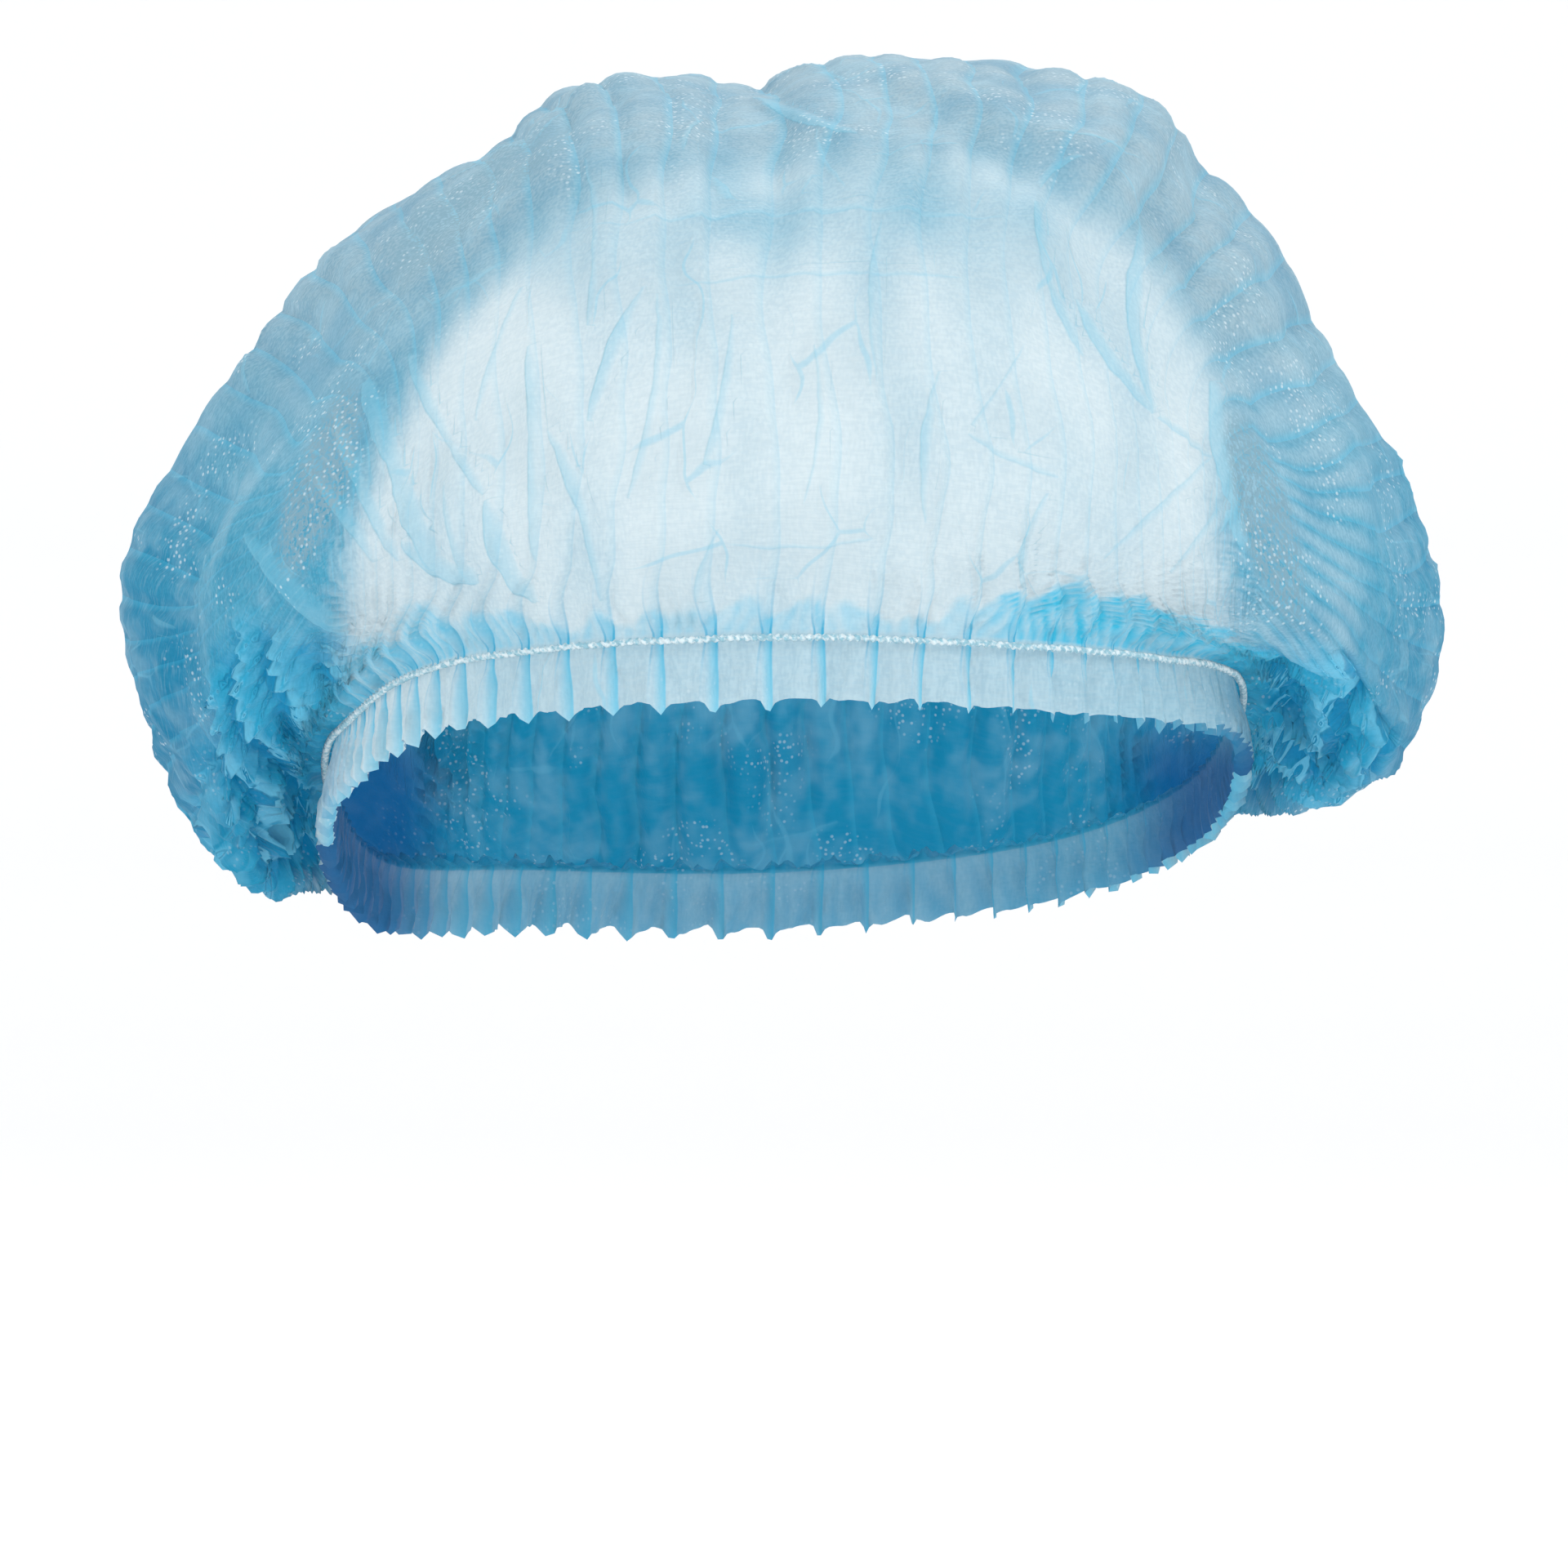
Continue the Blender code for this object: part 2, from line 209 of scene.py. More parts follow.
def dent_depth(bearing, share):
    depth = np.zeros_like(bearing)
    for dent in DENTS:
        along = share - dent.rise
        across = turned(bearing - dent.bearing - dent.slant * along)
        near = (across / dent.wide) ** 2 + (along / dent.tall) ** 2
        depth += dent.depth * PUFF_REACH * np.exp(-near)
    return depth * smooth(share / TURN_SHARE * 2)


# The mesh: a square grid over the crown whose columns run from brow to nape, and rings from its edge to
# the hem
COLUMNS = 300
ROWS = 250
TURN_RINGS = 6
FRILL_RINGS = 14
CREASES = 27


def grid_place(across, along):
    x = across * np.sqrt(1 - along * along / 2)
    y = along * np.sqrt(1 - across * across / 2)
    radius = np.hypot(x, y)
    bearing = np.degrees(np.arctan2(x, -y))
    bearing = bearing + CORNER_SHIFT * radius**2 * np.sin(np.radians(2 * bearing))
    return bearing, 1 - radius * (1 - GRID_SHARE)


along, across = np.meshgrid(np.linspace(-1, 1, ROWS + 1), np.linspace(-1, 1, COLUMNS + 1), indexing="ij")
across, along = across.ravel(), along.ravel()
bearing, share = grid_place(across, along)
rim = [(i, 0) for i in range(COLUMNS)] + [(COLUMNS, j) for j in range(ROWS)]
rim += [(i, ROWS) for i in range(COLUMNS, 0, -1)] + [(0, j) for j in range(ROWS, 0, -1)]
rim = np.array([j * (COLUMNS + 1) + i for i, j in rim])
RINGS = TURN_RINGS + FRILL_RINGS
turn_share = GRID_SHARE * np.arange(TURN_RINGS - 1, -1, -1) / TURN_RINGS
frill_share = np.arange(1, FRILL_RINGS + 1) / FRILL_RINGS
bearing = np.concatenate((bearing, np.tile(bearing[rim], RINGS)))
share = np.concatenate((share, np.repeat(turn_share, len(rim)), np.zeros(FRILL_RINGS * len(rim))))
below = np.zeros(len(bearing))
below[-FRILL_RINGS * len(rim):] = np.repeat(frill_share, len(rim))

grid = np.arange((ROWS + 1) * (COLUMNS + 1)).reshape(ROWS + 1, COLUMNS + 1)
quads = [np.stack((grid[:-1, :-1], grid[:-1, 1:], grid[1:, 1:], grid[1:, :-1]), -1).reshape(-1, 4)]
high = rim
for k in range(RINGS):
    low = grid.size + k * len(rim) + np.arange(len(rim))
    quads.append(np.stack((low, np.roll(low, -1), np.roll(high, -1), high), -1))
    high = low
quads = np.concatenate(quads)


def mesh_of(name, points, faces):
    mesh = bpy.data.meshes.new(name)
    mesh.vertices.add(len(points))
    mesh.vertices.foreach_set("co", points.astype(np.float32).ravel())
    mesh.loops.add(faces.size)
    mesh.loops.foreach_set("vertex_index", faces.astype(np.int32).ravel())
    mesh.polygons.add(len(faces))
    mesh.polygons.foreach_set("loop_start", np.arange(0, faces.size, faces.shape[1], dtype=np.int32))
    mesh.update(calc_edges=True)
    return mesh


def placed(name, data):
    """A new object in the scene."""
    holder = bpy.data.objects.new(name, data)
    bpy.context.scene.collection.objects.link(holder)
    return holder


def normals_of(points, faces):
    mesh = mesh_of("smooth_sheet", points, faces)
    found = np.empty(len(points) * 3, np.float32)
    mesh.vertices.foreach_get("normal", found)
    bpy.data.meshes.remove(mesh)
    return found.reshape(-1, 3).astype(float)


def rough(points, size, stretch=(1, 1, 1), seed=0):
    """Smooth random values from about -1 to 1 over the sheet, with lumps of this size."""
    places = points / (np.array(stretch) * size) + seed * 7.31
    return np.array([noise.noise(Vector(p)) for p in places]) * 1.8


is_frill = below > 0
neck = neck_point(bearing)
smooth_frill = frill_point(bearing, below * FRILL_LENGTH)
smooth_sheet = np.where(is_frill[:, None], smooth_frill, sheet_point(bearing, share))
facing = normals_of(smooth_sheet, quads)
from_neck = np.linalg.norm(smooth_sheet - neck, axis=1)
x, y, z = smooth_sheet.T


def lumps(size, seed, stretch=(1, 1, 1)):
    return rough(smooth_sheet, size, stretch, seed)


# The pleats run from the brow over the crown to the nape. They leave the elastic squarely, stand
# upright on the front, lean out to cross the cap's edge, and crowd together towards the sides of the
# opening.
PLEATS_PER_DEGREE = 0.185
PLEAT_CROWDING = 1.3e-5
EDGE_PLEATS_PER_DEGREE = 0.28
FAN_LEVEL = -0.020
STRETCH_HALF_WIDTH = 0.080
STRETCH_TOP = 0.112


def pleats_from_front(degrees):
    """How many pleats lie between the middle of the brow and a place this many degrees round."""
    return PLEATS_PER_DEGREE * degrees + PLEAT_CROWDING * degrees**3


inside = np.abs(x / STRETCH_HALF_WIDTH) ** 2.3 + np.abs(np.maximum(z, 0) / STRETCH_TOP) ** 2.3
turn = turned(bearing)
off_brow = np.abs(turn)
to_front = np.minimum(off_brow, 180 - off_brow)
neck_crease = np.sign(turn) * pleats_from_front(to_front)
half_turn = np.arange(-90, 91.0)
half_crease = np.sign(half_turn) * pleats_from_front(np.abs(half_turn))
upright_crease = np.interp(x, neck_point(half_turn)[:, 0], half_crease)
neck_crease = neck_crease + (upright_crease - neck_crease) * smooth((from_neck - 0.003) / 0.011) * ~is_frill
edge_crease = EDGE_PLEATS_PER_DEGREE * np.degrees(np.arctan2(x, z - FAN_LEVEL))
at_edge = smooth((inside - 0.72) / 0.7) * smooth((from_neck - 0.010) / 0.034) * ~is_frill
crease = neck_crease + (edge_crease - neck_crease) * at_edge
sheared = smooth(np.abs(edge_crease - neck_crease) / 1.5) * smooth(at_edge * 12) * (1 - at_edge**3)
calm = 1 - 0.92 * sheared

# Heights in metres: of the pleats over the brow, over the crown, where the elastic gathers them and at
# the hem, of the small gathers between them, of the ruffles that the sagging sides fold into, and of
# wrinkles and lumps
BROW_PLEAT = 0.00045
CROWN_PLEAT = 0.00075
BACK_PLEAT = 0.0019
GATHER_PLEAT = 0.0009
NECK_PLEAT = 0.0003
HEM_PLEAT = 0.0015
SUB_GATHER = 0.00070
FRILL_GATHER = 0.0003
RUFFLE = 0.0031
SMALL_RUFFLE = 0.0012
WRINKLE = 0.0011
LUMP = 0.0020

# How far up the gathers reach, in metres, how much of a pleat is its panel, where the first fold lies,
# in pleats, how many ruffles go round the opening, and how long their zigzag is, in metres
NECK_REACH = 0.012
PANEL_SHARE = 0.78
FIRST_FOLD = 0.27
RUFFLES = 90
ZIGZAG_LENGTH = 0.012


def knife_pleat(number):
    """The height of a knife pleat, from -1 in its valley to 1 on its ridge: a slow panel and a steep fold."""
    part = number % 1
    rise = unit(part / PANEL_SHARE)
    drop = unit((part - PANEL_SHARE) / (1 - PANEL_SHARE))
    return np.where(part < PANEL_SHARE, 2 * smooth(rise) - 1, 1 - 2 * smooth(drop))


def pillow_pleat(number):
    """The height of a soft rib between two narrow valleys, from -1 to 1."""
    return 1 - 2 * np.abs(2 * (number % 1) - 1) ** 2.5


def sharp_fold(number):
    """The height of evenly folded cloth, from -1 to 1, with sharp ridges."""
    return 2 * np.abs(2 * (number % 1) - 1) ** 1.3 - 1


# Tucks over the brow, where the cloth has folded over itself. Each row has three points, across and up
# in mm from the middle of the opening, then the tuck's width and its height in mm.
TUCKS = [
    (-66, 76, -61, 61, -51, 49, 0.9, 0.7),
    (-51, 49, -50, 36, -42, 31, 1.1, 0.6),
    (-73, 71, -69, 55, -60, 37, 2.2, 0.9),
    (-79, 66, -74, 50, -66, 38, 1.0, 0.5),
    (-93, 44, -85, 33, -76, 26, 1.6, 1.0),
    (-83, 55, -76, 47, -70, 38, 0.9, 0.6),
    (-44, 76, -43, 60, -43, 38, 0.7, 0.5),
    (-41, 61, -36, 54, -31, 31, 0.8, 0.7),
    (-45, 87, -51, 75, -54, 62, 0.5, 0.4),
    (-59, 53, -58, 42, -54, 34, 0.4, 0.4),
    (-24, 86, -31, 74, -34, 61, 0.7, 0.5),
    (-22, 85, -20, 67, -27, 48, 0.6, 0.4),
    (-9, 82, -9, 68, -14, 53, 0.5, 0.4),
    (-11, 44, -15, 37, -15, 31, 0.5, 0.4),
    (-35, 110, -31, 92, -34, 78, 0.6, 0.4),
    (44, 103, 43, 88, 52, 74, 1.0, 0.7),
    (63, 101, 59, 82, 64, 64, 1.1, 0.8),
    (51, 85, 55, 73, 64, 64, 1.0, 0.7),
    (64, 64, 68, 61, 74, 56, 0.5, 0.4),
    (42, 77, 37, 68, 31, 60, 0.4, 0.3),
    (74, 57, 64, 47, 54, 38, 0.4, 0.3),
    (75, 48, 71, 42, 66, 36, 0.4, 0.3),
    (45, 50, 39, 41, 41, 33, 0.6, 0.5),
    (31, 60, 38, 55, 47, 52, 0.4, 0.3),
    (75, 71, 74, 55, 80, 40, 1.8, 0.7),
    (17, 98, 13, 84, 16, 68, 0.5, 0.4),
    (27, 72, 22, 60, 24, 44, 0.5, 0.4),
    (5, 76, 8, 62, 3, 47, 0.4, 0.3),
    (-6, 124, 4, 117, 13, 114, 1.0, 1.2),
    (-62, 84, -55, 88, -48, 92, 0.5, 0.3),
    (-40, 96, 0, 101, 40, 98, 0.4, 0.6),
    (-20, 86, 10, 89, 32, 87, 0.3, 0.5),
    (-12, 41, 4, 39, 16, 42, 0.3, 0.3),
    (-66, 42, -60, 36, -52, 35, 1.2, 0.7),
]
TUCK_REACH = 0.005
LOOSE_TUCKS = 220
TUCK_SEED = 5


def loose_tucks():
    """Smaller tucks scattered over the flat sheet, most of them along its pleats."""
    chance = np.random.default_rng(TUCK_SEED)
    made = []
    for _ in range(LOOSE_TUCKS):
        middle = chance.uniform(-0.25, 0.25, 2)
        way = chance.normal(0, 0.45) + chance.choice((0, 1.3), p=(0.85, 0.15))
        step = np.array((math.sin(way), math.cos(way))) * chance.uniform(0.006, 0.017)
        bend = np.array((-step[1], step[0])) * chance.normal(0, 0.32)
        path = [*(middle - step), *(middle + bend), *(middle + step)]
        made.append(path + [chance.uniform(0.0003, 0.0008), chance.uniform(0.0002, 0.0007)])
    return made


def tuck_path(tuck):
    """Nine points along a tuck."""
    x0, z0, x1, z1, x2, z2 = tuck[:6]
    t = np.linspace(0, 1, 9)
    path_u = x0 * (1 - t) ** 2 + 2 * x1 * t * (1 - t) + x2 * t**2
    return np.stack((path_u, z0 * (1 - t) ** 2 + 2 * z1 * t * (1 - t) + z2 * t**2), -1)


def tuck_layers_of(tucks, least):
    """Deals tucks into three layers, and drops one that has less room than this in all of them."""
    layers = [[], [], []]
    for tuck in tucks:
        mine = tuck_path(tuck)
        room = []
        for layer in layers:
            others = np.concatenate([tuck_path(other) for other in layer] or [np.full((1, 2), 9.0)])
            room.append(np.linalg.norm(mine[:, None] - others, axis=2).min())
        if max(room) > least:
            layers[int(np.argmax(room))].append(tuck)
    return layers


def within_reach(place, start, bend, end):
    middle = (start + end) / 2
    return np.abs(place - middle) < abs(end - start) / 2 + abs(bend - middle) + TUCK_REACH


def nearest_tuck(u, v, tucks):
    """For each place: its distance to one side of the nearest tuck, and the tuck's width and height."""
    side = np.full(len(u), TUCK_REACH)
    wide = np.zeros(len(u))
    high = np.zeros(len(u))
    for tuck in tucks:
        x0, z0, x1, z1, x2, z2, width, height = tuck
        path = tuck_path(tuck)
        here = np.flatnonzero(within_reach(u, x0, x1, x2) & within_reach(v, z0, z1, z2))
        best = np.full(len(here), TUCK_REACH)
        place = np.zeros(len(here))
        for k in range(8):
            du, dv = path[k + 1] - path[k]
            off_u, off_v = u[here] - path[k, 0], v[here] - path[k, 1]
            run = unit((off_u * du + off_v * dv) / (du * du + dv * dv))
            off_u, off_v = off_u - du * run, off_v - dv * run
            gap = np.hypot(off_u, off_v) * np.where(off_u * dv - off_v * du < 0, -1, 1)
            nearer = np.abs(gap) < np.abs(best)
            best = np.where(nearer, gap, best)
            place = np.where(nearer, (k + run) / 8, place)
        taper = np.sqrt(unit(1 - (2 * place - 1) ** 2)) * smooth((0.0030 - np.abs(best)) / 0.0012)
        nearer = np.abs(best) < np.abs(side[here])
        side[here] = np.where(nearer, best, side[here])
        wide[here] = np.where(nearer, width * taper, wide[here])
        high[here] = np.where(nearer, height * taper, high[here])
    return side, wide, high


wander = lumps(0.045, 1, (1, 1.6, 1)) * 0.34 + lumps(0.014, 2, (1, 2, 1)) * 0.12
at_neck = bell(from_neck, 0, NECK_REACH)
fold_number = crease + FIRST_FOLD + wander * (1 - np.where(is_frill, 1, at_neck) * 0.7)
upper_right = smooth((x - 0.015) / 0.035) * smooth((z - 0.045) / 0.030)
stretched = smooth((1.12 - inside + 0.30 * upper_right) / 0.30) * smooth((-0.005 - y) / 0.045)
knife = unit(stretched + at_neck + is_frill)
pleat = knife_pleat(fold_number) * knife + pillow_pleat(fold_number) * (1 - knife)

brow = smooth((72 - off_brow) / 30) * smooth((0.115 - z) / 0.03) * (y < 0.02)
side = smooth((off_brow - 52) / 22)
under = smooth((0.050 - from_neck) / 0.030) * smooth((from_neck - 0.006) / 0.010) * side
uneven = np.clip(0.7 + 0.7 * lumps(0.030, 3, (1, 1.5, 1)), 0.15, 1.6)
at_back = smooth((y - 0.04) / 0.04)
pleat_height = CROWN_PLEAT + (BROW_PLEAT - CROWN_PLEAT) * brow + (BACK_PLEAT - CROWN_PLEAT) * at_back
pleat_height = pleat_height * uneven * calm
gathering = bell(from_neck, 0.005, 0.006)
pleat_height = pleat_height + (GATHER_PLEAT - pleat_height) * gathering
pleat_height = NECK_PLEAT + (pleat_height * (1 - 0.8 * under) - NECK_PLEAT) * smooth(from_neck / 0.004)
height = pleat * pleat_height
sub_number = fold_number * 3 + lumps(0.007, 7) * 0.6
sub_height = SUB_GATHER * np.clip(0.6 + 0.7 * lumps(0.012, 17), 0, 1.3)
sub_height = sub_height * np.exp(-from_neck / 0.009) * smooth(from_neck / 0.002)
sub_gather = np.sin(sub_number * 2 * math.pi)
height = height + sub_gather * sub_height

zigzag = np.sin(from_neck / ZIGZAG_LENGTH * 2 * math.pi + lumps(0.02, 18) * 3)
ruffle_number = np.sign(turn) * to_front * RUFFLES / 360 + lumps(0.022, 5) * 0.45
ruffle = sharp_fold(ruffle_number + zigzag * 0.14)
small_ruffle = sharp_fold(ruffle_number * 2 + lumps(0.010, 19) * 0.3)
at_root = bell(from_neck, 0.008, 0.006) * side
fullness = np.clip(0.8 + 0.5 * lumps(0.02, 6), 0.2, 1.5)
height = height + ruffle * RUFFLE * under * fullness
height = height + small_ruffle * SMALL_RUFFLE * at_root

# Beside the opening's ends the loose cloth is stacked into frilly layers, whose toothed edges point
# away from the elastic. tooth, layer: which of them a place is on, counted round and outwards from a
# middle inside the opening.
FRILLY_LEFT = (-0.090, 0.001, 0.019, 0.025)
FRILLY_RIGHT = (0.093, 0.008, 0.016, 0.015)
FAN_MIDDLE = (0.062, 0.022)
LEFT_TOOTH, RIGHT_TOOTH = 0.125, 0.21
LEFT_LAYER, RIGHT_LAYER = 0.0095, 0.0130
LAYER_HEIGHT = 0.0034
TOOTH_HEIGHT = 0.0012
frilly = np.zeros(len(x))
ragged = 0.12 * lumps(0.010, 22)
for middle_x, middle_z, reach_x, reach_z in (FRILLY_LEFT, FRILLY_RIGHT):
    off = np.hypot((x - middle_x) / reach_x, (z - middle_z) / reach_z)
    frilly = np.maximum(frilly, smooth((1.25 - off + ragged) / 0.45))
frilly = frilly * ~is_frill * smooth((from_neck - 0.003) / 0.006) * smooth((0.055 - y) / 0.02)
fan_x, fan_z = np.abs(x) - FAN_MIDDLE[0], z - FAN_MIDDLE[1]
tooth = np.arctan2(fan_z, fan_x) / np.where(x < 0, LEFT_TOOTH, RIGHT_TOOTH)
tooth = tooth + 0.35 * lumps(0.012, 23)
layer = np.hypot(fan_x, fan_z) / np.where(x < 0, LEFT_LAYER, RIGHT_LAYER)
layer = layer + 0.45 * lumps(0.016, 24)
off_tooth = np.abs(2 * (tooth % 1) - 1)
scallop = layer + 0.40 * off_tooth
height = height + frilly * LAYER_HEIGHT * (knife_pleat(scallop) * 0.5 - 0.1)
height = height - frilly * TOOTH_HEIGHT * off_tooth

loose = smooth((from_neck - 0.010) / 0.025)
height = height + lumps(0.040, 8) * LUMP * loose * (1 - 0.35 * brow)
height = height + lumps(0.013, 9, (1, 2.5, 1.8)) * WRINKLE * loose * (1 - 0.35 * brow)
height = height - dent_depth(bearing, share)

PLEAT_WIDTH = FLAT_DIAMETER / (2 * CREASES)
RING_STEP = 0.0012
flat_across = crease * PLEAT_WIDTH
flat_along = np.concatenate((along * FLAT_DIAMETER / 2, np.zeros(len(bearing) - grid.size)))
rim_along = np.tile(flat_along[rim], RINGS)
ring = np.repeat(np.arange(1, RINGS + 1), len(rim))
flat_along[grid.size:] = rim_along + np.where(rim_along < 0, -1, 1) * ring * RING_STEP
is_front = (y < 0.03) & (facing[:, 1] < 0.25) & ~is_frill
chosen = tuck_layers_of([[value / 1000 for value in tuck] for tuck in TUCKS], 0.0)
scattered = tuck_layers_of(loose_tucks(), 0.006)
tuck_layers = []
for chosen_layer, scattered_layer in zip(chosen, scattered):
    mine = nearest_tuck(x, z, chosen_layer)
    others = nearest_tuck(flat_across, flat_along, scattered_layer)
    is_mine = is_front & (mine[1] > 0)
    is_free = ~is_mine & ~is_frill & (brow < 0.5)
    rows = zip(mine, others, (TUCK_REACH, 0, 0))
    picked = [np.where(is_mine, own, np.where(is_free, other, none)) for own, other, none in rows]
    tuck_side, tuck_width, tuck_high = picked
    spread = unit(np.abs(tuck_side) / (tuck_width + 0.0016))
    height = height + tuck_high * (1 - smooth(spread)) * np.where(tuck_side > 0, 1, 0.8)
    tuck_layers.append((tuck_side, tuck_width))

HEM_TOOTH = 0.0019
HEM_RISE = 0.0004
HEM_UNEVEN = 0.0005
part = fold_number % 1
hem_height = HEM_PLEAT * station("ruffle", bearing)
frill_height = pleat * (NECK_PLEAT + (hem_height - NECK_PLEAT) * smooth((below - 0.15) / 0.6))
frill_height = frill_height + sub_gather * FRILL_GATHER * smooth(below / 0.3)
height = np.where(is_frill, frill_height, height)
fold_tooth = bell(part, 0.90, 0.09) + bell(part, -0.10, 0.09)
hem_drop = below**2 * (HEM_TOOTH * fold_tooth - HEM_RISE + HEM_UNEVEN * lumps(0.003, 11))
points = smooth_sheet + facing * height[:, None]
points[:, 2] -= np.where(is_frill, hem_drop, 0)

sheet_mesh = mesh_of("nonwoven_sheet", points, quads)
sheet_mesh.shade_smooth()
sheet = placed("nonwoven_sheet", sheet_mesh)
uv = sheet_mesh.uv_layers.new(name="flat")
loop_points = np.empty(len(sheet_mesh.loops), np.int32)
sheet_mesh.loops.foreach_get("vertex_index", loop_points)
uv.data.foreach_set("uv", np.stack((flat_across, flat_along), -1)[loop_points].astype(np.float32).ravel())


def keep(name, values):
    """Keeps a value for each of the sheet's points, which its material reads."""
    sheet_mesh.attributes.new(name, "FLOAT", "POINT").data.foreach_set("value", values.astype(np.float32))


# How blue the sheet looks, by where it lies: pale where it is stretched over the brow and one layer
# deep, bluer where it is loose and lies over itself. A window is a place where it is thinnest and shows
# what is behind it.
Window = namedtuple("Window", "x z wide tall slant")
WINDOWS = [
    Window(-80, 53, 4.5, 16, 0.25),
    Window(84, 46, 5, 17, -0.30),
    Window(-46, 112, 8, 8, 0.6),
    Window(-60, 99, 6, 10, 0.7),
    Window(101, 75, 3, 14, -0.35),
]

# The collar is the gathered band just above the elastic, and looks bluer. In metres: its height over
# the brow, what it gains at the left and at the right, and how uneven and how soft its upper edge is.
COLLAR = 0.0035
COLLAR_LEFT = 0.0055
COLLAR_RIGHT = 0.0068
COLLAR_UNEVEN = 0.0026
COLLAR_EDGE = 0.0022
low = smooth((0.075 - z) / 0.075)
loose_blue_and_rib_shade = 0.40 + 0.20 * side + 0.30 * low * side - 0.08 * np.maximum(under, frilly)
# Bluer towards the left, in random patches, towards the back and low at the left end. Across each pleat it is
# paler on the ridge and bluer in the valley: painted shade of the ribs.
loose_blue_and_rib_shade = loose_blue_and_rib_shade + 0.12 * smooth((0.02 - x) / 0.10)
loose_blue_and_rib_shade = loose_blue_and_rib_shade + 0.05 * lumps(0.020, 12) - 0.11 * pleat * (1 - under)
loose_blue_and_rib_shade = loose_blue_and_rib_shade + 0.12 * smooth((y - 0.05) / 0.06) + 0.09 * low * smooth((-0.070 - x) / 0.030)
left_end = smooth((-0.044 - x) / 0.020)
collar = COLLAR + COLLAR_LEFT * left_end + COLLAR_RIGHT * smooth((x - 0.030) / 0.012) + 0.0010 * pleat
collar = collar + COLLAR_UNEVEN * lumps(0.006, 15)
near_elastic = smooth((collar - from_neck) / (COLLAR_EDGE + 0.0040 * left_end) + 0.5) * ~is_frill
stretched_blue = 0.06 + 0.07 * lumps(0.018, 13, (0.6, 1, 1.6))
blue = loose_blue_and_rib_shade * (1 - stretched) + stretched * stretched_blue
blue = blue + 0.16 * stretched * smooth((z - 0.070) / 0.035)
frill_blue = 0.20 + 0.04 * side + 0.06 * smooth((x - 0.02) / 0.05)
frill_blue = frill_blue - 0.09 * smooth((-0.045 - x) / 0.025)
blue = np.where(is_frill, frill_blue, blue)
window = np.zeros(len(x))
window_edge = 0.15 * lumps(0.006, 14)
for row in WINDOWS:
    off_z = z * 1000 - row.z
    off_x = x * 1000 - row.x - off_z * row.slant
    near = 1.25 - np.sqrt((off_x / row.wide) ** 2 + (off_z / row.tall) ** 2)
    window = np.maximum(window, smooth(near / 0.45 + window_edge))
window = window * is_front * (1 - near_elastic) * smooth((-0.10 - facing[:, 1]) / 0.35)
# Painted shade in the valleys of the ruffles, and of the small ruffles at their roots
valleys = unit((0.35 - ruffle) / 1.35) * under * (1 - frilly)
valleys = valleys + unit((0.3 - small_ruffle) / 1.3) * at_root * 0.6
keep("fold_number", fold_number)
keep("blue", unit(blue))
keep("near_neck", np.exp(-from_neck / 0.0045) * np.where(is_frill, 0.9 - 0.4 * side, 0.7))
doubled = (0.10 + 0.25 * near_elastic + 0.16 * (1 - stretched)) * calm
keep("doubled", np.where(is_frill, 0.62, doubled))
keep("frilly", frilly)
# The painted shade in the gaps of the frilly layers follows the teeth of the folds
keep("tooth", fold_tooth)
# Painted shadow inside the cap, low at the two ends of the opening
keep("deep", 0.78 * smooth((np.abs(x) - 0.060) / 0.018) * smooth((0.016 - z) / 0.014))
keep("layer", layer)
# Greyer higher up on the loose cloth
keep("greyer_high", smooth((z - 0.040) / 0.060) * (1 - stretched))
collar_share = 0.40 + 0.52 * smooth((x - 0.030) / 0.018) + 0.26 * smooth((-0.046 - x) / 0.018)
# The collar is bluer in the valleys of its small gathers: painted shade.
keep("collar", unit(near_elastic * collar_share * (0.94 - 0.30 * sub_gather)))
keep("valley", unit(valleys))
keep("window", unit(window))
slack = unit(1 - stretched)
keep("loose", slack * np.where(is_frill, 0.5, 1))
keep("sheer", slack * np.where(is_frill, 0.6, 1) * (1 - 0.85 * smooth((y + 0.02) / 0.06)))
for name, (tuck_side, tuck_width) in zip("abc", tuck_layers):
    keep("tuck_side_" + name, tuck_side * 1000)
    keep("tuck_width_" + name, tuck_width * 1000)

SHEET_PALE = (0.775, 0.855, 0.87, 1)
SHEET_SKY = (0.10, 0.43, 0.59, 1)
SHEET_BLUE = (0.004, 0.25, 0.43, 1)
SHEET_GREYISH = (0.45, 0.55, 0.585, 1)
INSIDE_SHADE_BLUE = (0.01, 0.28, 0.48, 1)
INSIDE_END_SHADOW_BLUE = (0.0, 0.07, 0.26, 1)
RUFFLE_BODY = (0.005, 0.47, 0.74, 1)
TUCK_BLUE = (0.25, 0.63, 0.79, 1)
COLLAR_BLUE = (0.06, 0.58, 0.82, 1)
RUFFLE_HIGHLIGHT = (0.20, 0.68, 0.90, 1)
CLOUD_PALE = (0.50, 0.74, 0.83, 1)
FRILL_FOLD = (0.10, 0.60, 0.82, 1)
FOLD_BLUE = (0.02, 0.42, 0.67, 1)
VALLEY_SHADE_BLUE = (0.0, 0.31, 0.57, 1)
BOND_GLINT_WHITE = (0.95, 1.0, 1.0, 1)
WINDOW_GREY = (0.32, 0.49, 0.56, 1)
SHADE_GREY = (0.56, 0.67, 0.71, 1)

# Lumps and fibre strokes per metre, the height of the relief, the share of light that comes through the
# cloth, and how opaque it is
NEAR_LUMPS = 230.0
FAR_LUMPS = 62.0
STROKES = 1300.0
RELIEF = 0.0006
GLOW_SHARE = 0.44
OPACITY = 0.985


